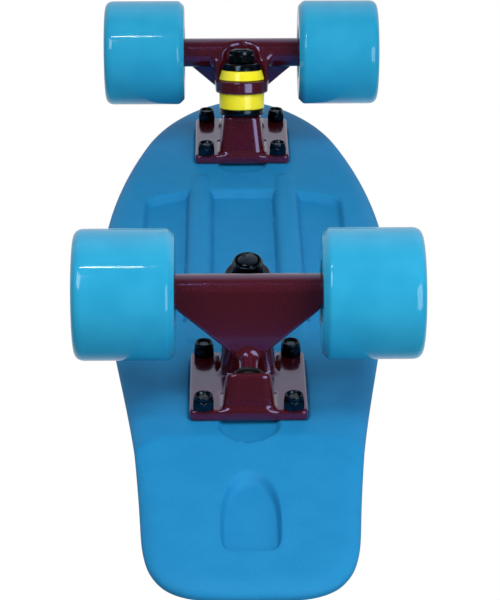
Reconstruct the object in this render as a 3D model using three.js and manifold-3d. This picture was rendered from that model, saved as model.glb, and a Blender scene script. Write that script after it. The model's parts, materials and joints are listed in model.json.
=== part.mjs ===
import * as THREE from 'three';
import { mergeVertices } from 'three/addons/utils/BufferGeometryUtils.js';
import Module from 'manifold-3d';

// Plastic mini cruiser skateboard, in millimetres.
// +Y is the nose, +Z is up, +X is the rider's right, and the wheels stand on z = 0.

// Layout of the board
const wheelDiameter = 60;
const noseOverhang = 102.4; // nose tip to the front axle
const tailOverhang = 126.6; // tail tip to the rear axle
const truckHeight = 54.3; // axle line to the baseplate's deck face
const trackHalf = 56.2; // board centre line to the middle of a wheel
const fitGap = 0.3; // between pieces that seat on or run in each other
const cutOverrun = 3; // how far every cutting body runs past what it cuts
const weldDistance = 0.001;

// Deck outline and thickness
const deckLength = 559;
const deckWidth = 149.8;
const widestY = 29.5;
const tailWidth = 93.2;
const tailEndLength = 45;
const noseSidePower = 1.7;
const noseTipPower = 1.64;
const tailCornerPower = 3.6;
const deckThickness = 10;
const topConcave = 1.6;
const flatTopShare = 0.25; // of the half width that stays flat along the middle of the top
const undersideRound = 9;
const topRound = 8;
const rimHeight = 4.2;

// Deck bends
const noseRise = 13;
const noseRiseLength = 103;
const noseRisePower = 1.5;
const tailRise = 23.4;
const tailKickLength = 96.6;
const kickBlend = 10;
const padWidth = 108; // the flat pad under the kicktail has rounded front corners
const padCornerRadius = 24;
const padFadeLength = 50;

// Deck underside
const dishDepth = 1;
const dishFloorRadius = 39.2;
const dishRimRadius = 48;
const panelDepth = 4;
const panelWallRun = 3.5;
const panelFromAxle = 82.3;
const panelShoulderX = 28;
const panelOuterX = 52.1;
const panelSlant = 11.2; // how much sooner the panels end at their outer walls
const panelCornerRadius = 3.5;
const ribCentreX = 24;
const ribTopWidth = 11;
const ribFromAxle = 58.2;
const ribDraft = 2.75;
const ribProud = 1.2;
const recessHalfWidth = 13.6;
const recessLength = 48;
const recessShoulder = 18; // straight sides before the arch closes
const recessDepth = 3.2;
const recessWallRun = 2.3;
const recessCornerRadius = 5;
const recessFromTip = 21.5;

// Baseplate
const plateWidth = 54.5;
const plateLength = 61;
const plateThickness = 5.3;
const plateInboard = 9.26; // the plate's middle lies this far inboard of the axle
const plateCornerRadius = 2.5;
const plateBevel = 1;
const boltEdgeX = 6.6; // bolt centre to the plate's side
const boltEdgeY = 3.6; // bolt centre to the plate's end
const bossEdgeRadius = 3;
const bossDraft = 1.5;
const kingpinBossHeight = 20.5;
const kingpinBossWidth = 22;
const kingpinBossFootWidth = 26.9;
const kingpinBossReach = 12.3; // kingpin centre line to the boss's outboard side
const kingpinInset = 12; // kingpin centre line to the plate's inboard edge
const pivotBossHeight = 18.4;
const pivotBossWidth = 20.6;
const pivotBossFootWidth = 24.3;
const pivotInset = 8; // pivot centre to the plate's outboard edge
const pivotDepth = 12.8; // pivot centre to the plate's face
const pivotFaceInset = 0.4; // pivot centre behind the boss's sloping face

// Kingpin stack, listed from the boss towards the ground
const kingpinLean = THREE.MathUtils.degToRad(13.45);
const kingpinRadius = 4.75;
const kingpinHeadRadius = 6.3;
const kingpinHeadHeight = 4.7;
const kingpinHeadTop = 14; // above the boss face, low enough to leave a wall round it
const kingpinTip = 0.7;
const washerThickness = 1.2;
const deckWasherRadius = 13.3;
const deckWasherHeight = 4.1;
const washerRim = 0.8;
const deckBushingHeight = 9.4;
const deckBushingRadius = 13.1; // at the ring
const ringRadius = 15.1;
const ringThickness = 7.1;
const ringBore = 8;
const roadBushingHeight = 5.9;
const roadBushingRadius = 13.2;
const roadBushingEndRadius = 11.5;
const roadWasherRadius = 11.4;
const roadWasherTopRadius = 10.4;
const roadWasherHeight = 3.8;
const kingNutAcrossFlats = 14.3;
const kingNutHeight = 7.3;
const kingNutCollarRadius = 6.6;
const kingNutCollarHeight = 2.4;

// Hanger
const barRadius = 9;
const barEndRadius = 6.6;
const barEndTaper = 3;
const webFace = 7.7; // flat outboard face of the web and the bar, to the axle line
const webThickness = 6.3;
const webHalfWidth = 32.8;
const webShoulder = 4.4;
const webTipHalfWidth = 4.9;
const webTipHeight = 29;
const webBevel = 0.8;
const yokeHalfWidth = 19;
const yokeHalfHeight = 7;
const yokeWaistHalfWidth = 15.5;
const yokeWaistHalfHeight = 5;
const yokeWaistLift = 2.4;
const yokeCornerRadius = 3;
const bushingPocketClearance = 0.9;
const stemRadius = 4.3;
const stemRootRadius = 6.2;

// Pivot cup
const pivotCupWall = 0.7;
const pivotFlangeRadius = 7;
const pivotFlangeThickness = 1.4;

// Axle, bearings and wheels
const axleRadius = 4;
const axleTip = 0.8; // the axle ends this far inside the wheel's outer face
const bearingRadius = 11;
const bearingWidth = 7;
const bearingSpacing = 10;
const bearingShieldInset = 0.6;
const bearingLip = 1.6;
const innerRingRadius = 6.2;
const shieldGap = 0.7;
const spacerRadius = 5.4;
const speedWasherThickness = 1.2;
const axleNutAcrossFlats = 13;
const axleNutHeight = 6.4;
const wheelWidth = 46;
const wheelInnerChamfer = 3;
const wheelOuterRound = 4.5;
const wheelRecessRadius = 15.5;
const wheelCoreBore = 9;

// Mounting hardware
const boltRadius = 2.5;
const boltHeadRadius = 4.8;
const boltHeadHeight = 2.8;
const boltHeadSink = 0.5; // below the top of the deck
const boltTip = 0.4;
const lockNutAcrossFlats = 9.3;
const lockNutHeight = 6.6;
const lockNutHexHeight = 4.6;
const lockNutCollarRadius = 4.1;

// Facets
const wheelFacets = 24;
const stackFacets = 18;
const rodFacets = 12;
const boltFacets = 8;
const arcSteps = 3;
const ovalShare = 0.55; // Bezier handles as long as this share of it draw a quarter of an oval

// Heights and places that follow from the sizes above
const axleZ = wheelDiameter / 2;
const dishFloorZ = axleZ + truckHeight + fitGap;
const undersideZ = dishFloorZ - dishDepth;
const noseTipY = deckLength / 2;
const tailTipY = -deckLength / 2;
const frontAxleY = noseTipY - noseOverhang;
const rearAxleY = tailTipY + tailOverhang;
const wheelbase = frontAxleY - rearAxleY;
const wheelbaseCentreY = (frontAxleY + rearAxleY) / 2;
const panelHalfLength = wheelbase / 2 - panelFromAxle;
const panelOuterHalfLength = panelHalfLength - panelSlant;
const ribHalfLength = wheelbase / 2 - ribFromAxle;
const tailEndY = tailTipY + tailEndLength;
const creaseY = tailTipY + tailKickLength;
const kickSlope = tailRise / (tailKickLength - kickBlend / 2);
const plateFaceZ = truckHeight - plateThickness; // these three are measured from the axle
const plateOutboardY = plateInboard - plateLength / 2;
const plateInboardY = plateInboard + plateLength / 2;
const kingpinSeat = new THREE.Vector3(0, plateInboardY - kingpinInset, plateFaceZ - kingpinBossHeight);
const pivotCentre = new THREE.Vector3(0, plateOutboardY + pivotInset, plateFaceZ - pivotDepth);
const ringTop = deckWasherHeight + deckBushingHeight;
const ringBottom = ringTop + ringThickness;
const roadWasherTop = ringBottom + roadBushingHeight;
const kingNutTop = roadWasherTop + roadWasherHeight;
const kingpinLength = kingNutTop + kingNutHeight + kingpinTip;
const kingpinHeadSeat = kingpinHeadTop - kingpinHeadHeight;
const kingpinDown = new THREE.Vector3(0, -Math.sin(kingpinLean), -Math.cos(kingpinLean));
const ringCentre = kingpinSeat.clone().addScaledVector(kingpinDown, (ringTop + ringBottom) / 2);
const steerLean = Math.atan2(ringCentre.y - pivotCentre.y, pivotCentre.z - ringCentre.z);
const sleeveHalf = bearingSpacing / 2 + bearingWidth + speedWasherThickness;
const barHalf = trackHalf - sleeveHalf - fitGap;
const axleHalf = trackHalf + wheelWidth / 2 - axleTip;
const boltSeatZ = undersideZ + deckThickness - topConcave - boltHeadSink;

const wasm = await Module();
wasm.setup();
const { lerp, smoothstep } = THREE.MathUtils;
const quarterTurn = Math.PI / 2;

// Closed mesh to solid and back, for pieces that are joined or cut
function solid(geometry) {
  const bare = geometry.clone();
  bare.deleteAttribute('normal');
  bare.deleteAttribute('uv');
  const merged = mergeVertices(bare, weldDistance);
  const corners = merged.index.array;
  const triangles = [];
  for (let i = 0; i < corners.length; i += 3) {
    const [a, b, c] = corners.slice(i, i + 3);
    if (a !== b && b !== c && c !== a) triangles.push(a, b, c);
  }
  const mesh = new wasm.Mesh({
    numProp: 3,
    vertProperties: merged.attributes.position.array,
    triVerts: new Uint32Array(triangles),
  });
  return new wasm.Manifold(mesh);
}

function geometryOf(body) {
  const mesh = body.getMesh();
  const geometry = new THREE.BufferGeometry();
  geometry.setAttribute('position', new THREE.BufferAttribute(mesh.vertProperties, 3));
  geometry.setIndex(new THREE.BufferAttribute(mesh.triVerts, 1));
  return geometry;
}

function joined(bodies) {
  return bodies.reduce((whole, body) => whole.add(body));
}

function cut(body, tools) {
  return tools.reduce((rest, tool) => rest.subtract(tool), body);
}

// Profile of [radius, height] pairs turned about the Z axis, counterclockwise in that plane
function revolve(profile, facets) {
  const points = profile.map(([radius, height]) => new THREE.Vector2(radius, height));
  return new THREE.LatheGeometry(points, facets).rotateX(quarterTurn);
}

// The same for a ring, whose profile closes on itself
function revolveRing(profile, facets) {
  return revolve([...profile, profile[0]], facets);
}

function rod(radius, low, high, facets) {
  return revolve([[0, low], [radius, low], [radius, high], [0, high]], facets);
}

// Quarter round as [radius, height] pairs about a centre, from one angle to another
function arc(centreRadius, centreHeight, size, from, to) {
  return Array.from({ length: arcSteps + 1 }, (_, i) => {
    const turn = lerp(from, to, i / arcSteps);
    return [centreRadius + size * Math.cos(turn), centreHeight + size * Math.sin(turn)];
  });
}

function roundedRectangle(halfX, halfY, radius) {
  const quadrants = [[1, 1], [-1, 1], [-1, -1], [1, -1]];
  return quadrants.flatMap(([signX, signY], quadrant) => {
    const start = quadrant * quarterTurn;
    return arc(signX * (halfX - radius), signY * (halfY - radius), radius, start, start + quarterTurn);
  });
}

// Polygon with its corners rounded off
function roundedShape(corners, radius) {
  const shape = new THREE.Shape();
  corners.forEach((corner, i) => {
    const before = corners.at(i - 1).clone().sub(corner).setLength(radius).add(corner);
    const after = corners[(i + 1) % corners.length].clone().sub(corner).setLength(radius).add(corner);
    if (i === 0) shape.moveTo(before.x, before.y);
    else shape.lineTo(before.x, before.y);
    shape.quadraticCurveTo(corner.x, corner.y, after.x, after.y);
  });
  shape.closePath();
  return shape;
}

// Skin over closed loops of equal count, counterclockwise seen from the last loop
function loft(loops, capped) {
  const count = loops[0].length;
  const points = loops.flat();
  const triangles = [];
  for (let row = 0; row + 1 < loops.length; row++) {
    for (let i = 0; i < count; i++) {
      const a = row * count + i;
      const b = row * count + ((i + 1) % count);
      triangles.push(a, b, b + count, a, b + count, a + count);
    }
  }
  const ends = capped ? [[0, true], [loops.length - 1, false]] : [];
  for (const [row, facesBack] of ends) {
    const middle = new THREE.Vector3();
    loops[row].forEach((point) => middle.addScaledVector(point, 1 / count));
    points.push(middle);
    for (let i = 0; i < count; i++) {
      const a = row * count + i;
      const b = row * count + ((i + 1) % count);
      triangles.push(points.length - 1, facesBack ? b : a, facesBack ? a : b);
    }
  }
  const geometry = new THREE.BufferGeometry().setFromPoints(points);
  geometry.setIndex(triangles);
  return geometry;
}

// Cutting body for a recess with rounded walls: its mouth lies at z = 0 and its floor at z = depth
function pocket(floorShape, depth, wallRun, curveSteps) {
  const settings = {
    depth: cutOverrun,
    bevelThickness: depth,
    bevelSize: wallRun,
    bevelSegments: 2,
    curveSegments: curveSteps,
  };
  return new THREE.ExtrudeGeometry(floorShape, settings).translate(0, 0, -cutOverrun);
}

// Deck: outline, bends and edge
const noseRows = 12;
const flatRows = 8;
const creaseRows = 7;
const padRows = 3;
const endRows = 8;
const creaseZone = 14; // rows are closer together from this far ahead of the crease
const shoulderShare = 0.6; // of the half width, a column of points that helps the top curve
const columnShares = [-1, -shoulderShare, -flatTopShare, flatTopShare, shoulderShare, 1];

function deckHalfWidth(y) {
  if (y > widestY) {
    const noseShare = (y - widestY) / (noseTipY - widestY);
    return (deckWidth / 2) * Math.max(0, 1 - noseShare ** noseSidePower) ** (1 / noseTipPower);
  }
  const taper = smoothstep(widestY - y, 0, widestY - tailTipY);
  const side = lerp(deckWidth / 2, tailWidth / 2, taper);
  const endShare = THREE.MathUtils.clamp((tailEndY - y) / tailEndLength, 0, 1);
  return side * (1 - endShare ** tailCornerPower) ** (1 / tailCornerPower);
}

function deckRise(x, y) {
  const noseRun = Math.max(0, y - (noseTipY - noseRiseLength));
  const cornerReach = Math.max(0, Math.abs(x) - (padWidth / 2 - padCornerRadius));
  const cornerDrop = padCornerRadius - Math.sqrt(Math.max(0, padCornerRadius ** 2 - cornerReach ** 2));
  const fade = smoothstep(creaseY - y, 0, padFadeLength);
  const kickRun = Math.max(0, creaseY - y - cornerDrop * (1 - fade));
  const kick = kickRun < kickBlend ? kickRun ** 2 / (2 * kickBlend) : kickRun - kickBlend / 2;
  return noseRise * (noseRun / noseRiseLength) ** noseRisePower + kickSlope * kick;
}

function spread(from, to, count) {
  return Array.from({ length: count }, (_, i) => lerp(from, to, i / count));
}

// Rows from the nose tip to the tail tip, closest together where the deck curves
function deckRows() {
  const creaseStart = creaseY + creaseZone;
  const creaseEnd = creaseY - padCornerRadius;
  return [
    ...spread(0, quarterTurn, noseRows)
      .map((turn) => (1 - Math.sin(turn) ** noseTipPower) ** (1 / noseSidePower))
      .map((noseShare) => lerp(widestY, noseTipY, noseShare)),
    ...spread(widestY, creaseStart, flatRows),
    ...spread(creaseStart, creaseEnd, creaseRows),
    ...spread(creaseEnd, tailEndY, padRows),
    ...spread(0, quarterTurn, endRows)
      .map((turn) => tailEndY - tailEndLength * Math.sin(turn) ** (2 / tailCornerPower)),
    tailTipY,
  ];
}

// Edge from the underside round to the top, as [inset from the outline, height] pairs
function edgeProfile() {
  const bottom = arc(0, 0, 1, -quarterTurn, 0)
    .map(([across, up]) => [undersideRound * (1 - across), rimHeight * (1 + up)]);
  const top = arc(0, 0, 1, 0, quarterTurn)
    .map(([across, up]) => [topRound * (1 - across), lerp(rimHeight, deckThickness, up)]);
  return [...bottom, ...top.slice(1)];
}

function deckPoint(x, y, height) {
  return new THREE.Vector3(x, y, undersideZ + height + deckRise(x, y));
}

// The top dips a little between its edges and runs out flat at the nose and the tail
function topHeight(share, y) {
  const outward = Math.max(0, (Math.abs(share) - flatTopShare) / (1 - flatTopShare));
  const endRoom = Math.min(noseTipY - y, y - tailTipY);
  return deckThickness - topConcave * (1 - outward ** 2) * smoothstep(endRoom, topRound, tailEndLength);
}

function deckBlank() {
  const outline = deckRows().map((y) => new THREE.Vector2(deckHalfWidth(y), y));
  const profile = edgeProfile();
  const loops = outline.map((place, i) => {
    const outward = new THREE.Vector2(0, i === 0 ? 1 : -1);
    if (i > 0 && i < outline.length - 1) {
      const along = outline[i + 1].clone().sub(outline[i - 1]).normalize();
      outward.set(-along.y, along.x);
    }
    const edge = profile.map(([inset, height]) => ({
      place: place.clone().addScaledVector(outward, -inset),
      height,
    }));
    const under = edge[0].place;
    const over = edge.at(-1).place;
    const wrap = edge.slice(1, -1);
    return [
      ...columnShares.map((share) => deckPoint(share * under.x, under.y, 0)),
      ...wrap.map((point) => deckPoint(point.place.x, point.place.y, point.height)),
      ...columnShares.map((share) => deckPoint(-share * over.x, over.y, topHeight(share, over.y))),
      ...wrap.toReversed().map((point) => deckPoint(-point.place.x, point.place.y, point.height)),
    ];
  });
  return loft(loops, false);
}

// Shallow dish round each truck, with a flat floor for the baseplate
function dishCutter(axleY, inboard) {
  const profile = [
    [0, -cutOverrun],
    [dishRimRadius, -cutOverrun],
    [dishRimRadius, 0],
    [dishFloorRadius, dishDepth],
    [0, dishDepth],
  ];
  return solid(revolve(profile, 2 * stackFacets).translate(0, axleY + inboard * plateInboard, undersideZ));
}

// One wide panel from shoulder to shoulder; the ribs then divide it in three
function panelCutter() {
  const corners = [
    [panelShoulderX, panelHalfLength],
    [-panelShoulderX, panelHalfLength],
    [-panelOuterX, panelOuterHalfLength],
    [-panelOuterX, -panelOuterHalfLength],
    [-panelShoulderX, -panelHalfLength],
    [panelShoulderX, -panelHalfLength],
    [panelOuterX, -panelOuterHalfLength],
    [panelOuterX, panelOuterHalfLength],
  ].map(([x, y]) => new THREE.Vector2(x, y));
  const floor = roundedShape(corners, panelCornerRadius);
  return solid(pocket(floor, panelDepth, panelWallRun, arcSteps).translate(0, wheelbaseCentreY, undersideZ));
}

// Round-topped rib that stands a little proud of the underside
function deckRib(x) {
  const height = ribProud + panelDepth;
  const panelFloorZ = undersideZ + panelDepth;
  const root = (deckThickness - topConcave - panelDepth) / 2;
  const level = (grow, z) => {
    const halfWidth = ribTopWidth / 2 + grow;
    return roundedRectangle(halfWidth, ribHalfLength + grow, halfWidth)
      .map(([across, along]) => new THREE.Vector3(x + across, wheelbaseCentreY + along, z));
  };
  const rounding = arc(0, 0, 1, 0, quarterTurn)
    .map(([up, out]) => level(ribDraft * out, panelFloorZ - height * up));
  return solid(loft([...rounding, level(ribDraft, panelFloorZ + root)], true));
}

// Arched recess in the pad under the kicktail, sunk square to the pad
function recessCutter() {
  const halfWidth = recessHalfWidth - recessWallRun;
  const length = recessLength - 2 * recessWallRun;
  const crown = length - recessShoulder;
  const sideHandle = length - crown * (1 - ovalShare);
  const tipHandle = halfWidth * ovalShare;
  const shape = new THREE.Shape();
  shape.moveTo(recessCornerRadius - halfWidth, 0);
  shape.lineTo(halfWidth - recessCornerRadius, 0);
  shape.quadraticCurveTo(halfWidth, 0, halfWidth, recessCornerRadius);
  shape.lineTo(halfWidth, length - crown);
  shape.bezierCurveTo(halfWidth, sideHandle, tipHandle, length, 0, length);
  shape.bezierCurveTo(-tipHandle, length, -halfWidth, sideHandle, -halfWidth, length - crown);
  shape.lineTo(-halfWidth, recessCornerRadius);
  shape.quadraticCurveTo(-halfWidth, 0, recessCornerRadius - halfWidth, 0);
  const y = tailTipY + recessFromTip + recessWallRun;
  return solid(pocket(shape, recessDepth, recessWallRun, 2 * arcSteps)
    .rotateX(-Math.atan(kickSlope))
    .translate(0, y, undersideZ + deckRise(0, y)));
}

const boltSpacingX = plateWidth - 2 * boltEdgeX;
const boltSpacingY = plateLength - 2 * boltEdgeY;
const boltPlaces = [-1, 1].flatMap((side) => [-1, 1].map((end) => ({
  side,
  end,
  x: side * boltSpacingX / 2,
  y: plateInboard + end * boltSpacingY / 2,
})));

// Countersunk shape of a bolt, or of the hole that clears it
function boltProfile(clearance, low, high) {
  const seat = boltSeatZ - axleZ;
  return [
    [0, low],
    [boltRadius + clearance, low],
    [boltRadius + clearance, seat - boltHeadHeight],
    [boltHeadRadius + clearance, seat],
    [boltHeadRadius + clearance, high],
    [0, high],
  ];
}

function deckBoltHoles(axleY, inboard) {
  const high = boltSeatZ - axleZ + topConcave + cutOverrun;
  const hole = revolve(boltProfile(fitGap, truckHeight - cutOverrun, high), boltFacets);
  return boltPlaces.map(({ x, y }) => (
    solid(hole.clone().translate(inboard * x, axleY + inboard * y, axleZ))
  ));
}

function deckGeometry() {
  const recessed = cut(solid(deckBlank()), [
    panelCutter(),
    dishCutter(frontAxleY, -1),
    dishCutter(rearAxleY, 1),
    recessCutter(),
  ]);
  const ribbed = joined([recessed, deckRib(-ribCentreX), deckRib(ribCentreX)]);
  return geometryOf(cut(ribbed, [...deckBoltHoles(frontAxleY, -1), ...deckBoltHoles(rearAxleY, 1)]));
}

// Each truck is built about the middle of its axle, with +Y inboard and +Z towards the deck.
// Along the kingpin, z = 0 is the boss face and the stack runs down from it.
function alongKingpin(geometry) {
  return geometry.rotateX(-kingpinLean).translate(...kingpinSeat.toArray());
}

// Along the steering axis, z = 0 is the pivot centre and the hanger lies below it
function alongSteering(geometry) {
  return geometry.rotateX(steerLean).translate(...pivotCentre.toArray());
}

// Flat outline in the YZ plane, as wide as needed and centred on x
function sidePlate(points, x, width) {
  const shape = new THREE.Shape(points.map(([y, z]) => new THREE.Vector2(y, z)));
  return new THREE.ExtrudeGeometry(shape, { depth: width, bevelEnabled: false })
    .rotateX(quarterTurn)
    .rotateZ(quarterTurn)
    .translate(x - width / 2, 0, 0);
}

function plateSlab() {
  const outline = roundedRectangle(plateWidth / 2, plateLength / 2, plateCornerRadius)
    .map(([x, y]) => new THREE.Vector2(x, y));
  const settings = {
    depth: plateThickness - 2 * plateBevel,
    bevelThickness: plateBevel,
    bevelSize: plateBevel,
    bevelOffset: -plateBevel,
    bevelSegments: 1,
  };
  return new THREE.ExtrudeGeometry(new THREE.Shape(outline), settings)
    .translate(0, plateInboard, plateFaceZ + plateBevel);
}

// Ring of a boss, between two y places, at the height that a function gives
function bossLevel(halfWidth, outboardY, inboardY, radius, heightAt) {
  return roundedRectangle(halfWidth, (inboardY - outboardY) / 2, radius).map(([x, along]) => {
    const y = (inboardY + outboardY) / 2 + along;
    return new THREE.Vector3(x, y, heightAt(y));
  });
}

function kingpinBoss() {
  const top = (y) => kingpinSeat.z - (y - kingpinSeat.y) * Math.tan(kingpinLean);
  const foot = () => plateFaceZ + plateBevel;
  const outboardY = kingpinSeat.y - kingpinBossReach;
  const crownY = plateInboardY - bossDraft;
  const levels = [
    bossLevel(kingpinBossWidth / 2 - plateBevel, outboardY + plateBevel, crownY - plateBevel,
      bossEdgeRadius, top),
    bossLevel(kingpinBossWidth / 2, outboardY, crownY, bossEdgeRadius, (y) => top(y) + plateBevel),
    bossLevel(kingpinBossFootWidth / 2, outboardY - bossDraft, plateInboardY - plateBevel,
      bossEdgeRadius, foot),
  ];
  return loft(levels, true);
}

// Wedge whose inboard face is square to the steering axis
function pivotBoss() {
  const topZ = plateFaceZ - pivotBossHeight;
  const footZ = plateFaceZ + plateBevel;
  const faceY = pivotCentre.y + pivotFaceInset / Math.sin(steerLean);
  const faceAt = (z) => faceY + (z - pivotCentre.z) / Math.tan(steerLean);
  const outboardAt = (z) => lerp(plateOutboardY + bossDraft, plateOutboardY + plateBevel,
    (z - topZ) / (footZ - topZ));
  const level = (width, z, inset, radius) => (
    bossLevel(width / 2 - inset, outboardAt(z) + inset, faceAt(z), radius, () => z)
  );
  const levels = [
    level(pivotBossWidth, topZ, plateBevel / 2, plateBevel / 2),
    level(pivotBossWidth, topZ + plateBevel, 0, plateBevel),
    level(pivotBossFootWidth, footZ, 0, bossEdgeRadius),
  ];
  return loft(levels, true);
}

function baseplateGeometry() {
  const body = joined([plateSlab(), kingpinBoss(), pivotBoss()].map(solid));
  const headRoom = kingpinHeadRadius + fitGap;
  const headTop = kingpinSeat.clone().addScaledVector(kingpinDown, -kingpinHeadTop);
  const kingpinHole = rod(kingpinRadius + fitGap, -cutOverrun, kingpinHeadTop, rodFacets);
  const headHole = rod(headRoom, kingpinHeadSeat - fitGap, kingpinHeadTop + fitGap, rodFacets);
  const wayIn = rod(headRoom, headTop.z, truckHeight + cutOverrun, rodFacets); // from the deck's side
  const cupRadius = stemRadius + 2 * fitGap + pivotCupWall;
  const cupHole = revolve([
    [0, -cutOverrun - pivotFaceInset],
    [cupRadius, -cutOverrun - pivotFaceInset],
    ...arc(0, 0, cupRadius, 0, quarterTurn),
  ], rodFacets);
  const boltHole = rod(boltRadius + fitGap, plateFaceZ - cutOverrun, truckHeight + cutOverrun, boltFacets);
  const tools = [
    alongKingpin(kingpinHole),
    alongKingpin(headHole),
    wayIn.translate(0, headTop.y, 0),
    alongSteering(cupHole),
    ...boltPlaces.map(({ x, y }) => boltHole.clone().translate(x, y, 0)),
  ];
  return geometryOf(cut(body, tools.map(solid)));
}

// Hanger: bar with a flat outboard side, web flush with it, yoke with its ring, and the stem
// that turns in the pivot cup
function alongAxle(geometry) {
  return geometry.rotateY(quarterTurn);
}

function hangerBar() {
  const shoulder = barHalf - barEndTaper;
  const round = alongAxle(revolve([
    [0, -barHalf],
    [barEndRadius, -barHalf],
    [barRadius, -shoulder],
    [barRadius, shoulder],
    [barEndRadius, barHalf],
    [0, barHalf],
  ], stackFacets));
  const beyondFlat = sidePlate([
    [-barRadius - cutOverrun, -barRadius],
    [-webFace, -barRadius],
    [-webFace, barRadius],
    [-barRadius - cutOverrun, barRadius],
  ], 0, 2 * (barHalf + cutOverrun));
  return solid(round).subtract(solid(beyondFlat));
}

function hangerWeb() {
  const webFoot = Math.sqrt(barRadius ** 2 - webFace ** 2); // where the bar's flat ends
  const outline = [
    [-webHalfWidth, -webFoot],
    [webHalfWidth, -webFoot],
    [webHalfWidth, webShoulder],
    [webTipHalfWidth, webTipHeight],
    [-webTipHalfWidth, webTipHeight],
    [-webHalfWidth, webShoulder],
  ].map(([x, z]) => new THREE.Vector2(x, z));
  const depth = webThickness - 2 * webBevel;
  const settings = {
    depth,
    bevelThickness: webBevel,
    bevelSize: webBevel,
    bevelOffset: -webBevel,
    bevelSegments: 1,
  };
  return new THREE.ExtrudeGeometry(new THREE.Shape(outline), settings)
    .rotateX(quarterTurn)
    .translate(0, depth + webBevel - webFace, 0);
}

// Arm that narrows from the bar to the ring
function hangerYoke() {
  const section = (halfWidth, halfHeight, y, z, lean) => (
    roundedRectangle(halfWidth, halfHeight, Math.min(yokeCornerRadius, halfHeight / 2))
      .map(([across, up]) => (
        new THREE.Vector3(-across, y + up * Math.sin(lean), z + up * Math.cos(lean))
      ))
  );
  return loft([
    section(yokeHalfWidth, yokeHalfHeight, 0, 0, 0),
    section(yokeWaistHalfWidth, yokeWaistHalfHeight, ringCentre.y / 2, ringCentre.z / 2 + yokeWaistLift,
      kingpinLean / 2),
    section(ringRadius - fitGap, ringThickness / 2 - fitGap, ringCentre.y, ringCentre.z, kingpinLean),
  ], true);
}

const stemLength = ringCentre.distanceTo(pivotCentre) - ringRadius;

function hangerStem() {
  return alongSteering(revolve([
    [0, -stemLength],
    [stemRootRadius, -stemLength],
    [stemRadius, -stemLength / 2],
    ...arc(0, 0, stemRadius, 0, quarterTurn),
  ], rodFacets));
}

// Rib under the stem, from the web's tip to the ring
function hangerGusset() {
  const stemRootY = pivotCentre.y + stemLength * Math.sin(steerLean);
  const stemRootZ = pivotCentre.z - stemLength * Math.cos(steerLean);
  const points = [
    [webThickness - webFace, webTipHeight - webBevel],
    [webThickness - webFace, 0],
    [ringCentre.y, ringCentre.z],
    [stemRootY, stemRootZ],
  ];
  return sidePlate(points, 0, 2 * stemRadius);
}

function hangerGeometry() {
  const body = joined([
    hangerBar(),
    ...[hangerWeb(), hangerYoke(), hangerStem(), hangerGusset()].map(solid),
  ]);
  const pocketRadius = deckWasherRadius + bushingPocketClearance;
  const roadPocket = rod(pocketRadius, -kingpinLength - cutOverrun, -ringBottom, stackFacets);
  const deckPocket = rod(pocketRadius, -ringTop, cutOverrun, stackFacets);
  const ring = rod(ringRadius, -ringBottom, -ringTop, stackFacets);
  const bore = rod(ringBore, -ringBottom - cutOverrun, -ringTop + cutOverrun, rodFacets);
  const axleHole = rod(axleRadius + fitGap, -barHalf - cutOverrun, barHalf + cutOverrun, rodFacets);
  const pocketed = cut(body, [roadPocket, deckPocket].map((tool) => solid(alongKingpin(tool))));
  const ringed = pocketed.add(solid(alongKingpin(ring)));
  return geometryOf(cut(ringed, [solid(alongKingpin(bore)), solid(alongAxle(axleHole))]));
}

function pivotCupGeometry() {
  const inner = stemRadius + fitGap;
  const outer = inner + pivotCupWall;
  const flangeTop = -pivotFaceInset - fitGap;
  const flangeBottom = flangeTop - pivotFlangeThickness;
  return alongSteering(revolve([
    ...arc(0, 0, inner, quarterTurn, 0),
    [inner, flangeBottom],
    [pivotFlangeRadius, flangeBottom],
    [pivotFlangeRadius, flangeTop],
    [outer, flangeTop],
    ...arc(0, 0, outer, 0, quarterTurn),
  ], rodFacets));
}

// Kingpin and what it clamps
const stackBore = kingpinRadius + fitGap;

function kingpinGeometry() {
  return alongKingpin(revolve([
    [0, -kingpinLength],
    [kingpinRadius, -kingpinLength],
    [kingpinRadius, kingpinHeadSeat],
    [kingpinHeadRadius, kingpinHeadSeat],
    [kingpinHeadRadius, kingpinHeadTop],
    [0, kingpinHeadTop],
  ], rodFacets));
}

function deckWasherGeometry() {
  const discBottom = -fitGap - washerThickness;
  return alongKingpin(revolveRing([
    [stackBore, discBottom],
    [deckWasherRadius - washerRim, discBottom],
    [deckWasherRadius - washerRim, -deckWasherHeight],
    [deckWasherRadius, -deckWasherHeight],
    [deckWasherRadius, -fitGap],
    [stackBore, -fitGap],
  ], stackFacets));
}

// Barrel that narrows into the cup of its washer
function deckBushingGeometry() {
  const endRadius = deckWasherRadius - washerRim - fitGap;
  const top = -2 * fitGap - washerThickness;
  const shoulder = -deckWasherHeight - fitGap;
  const bottom = -ringTop + fitGap;
  return alongKingpin(revolveRing([
    [stackBore, bottom],
    [deckBushingRadius, bottom],
    [endRadius, shoulder],
    [endRadius, top],
    [stackBore, top],
  ], stackFacets));
}

function roadWasherGeometry() {
  return alongKingpin(revolveRing([
    [stackBore, -kingNutTop],
    [roadWasherTopRadius, -kingNutTop],
    [roadWasherRadius, -roadWasherTop],
    [roadWasherRadius - washerRim, -roadWasherTop],
    [roadWasherTopRadius - washerRim, -kingNutTop + washerThickness],
    [stackBore, -kingNutTop + washerThickness],
  ], stackFacets));
}

// Cone that ends inside its cup washer
function roadBushingGeometry() {
  const top = -ringBottom - fitGap;
  const shoulder = -roadWasherTop + fitGap;
  const bottom = -kingNutTop + washerThickness + fitGap;
  const neckRadius = roadWasherRadius - washerRim - fitGap;
  const endRadius = roadWasherTopRadius - washerRim - fitGap;
  return alongKingpin(revolveRing([
    [stackBore, bottom],
    [endRadius, bottom],
    [neckRadius, -roadWasherTop],
    [neckRadius, shoulder],
    [roadBushingEndRadius, shoulder],
    [roadBushingRadius, top],
    [stackBore, top],
  ], stackFacets));
}

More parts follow.
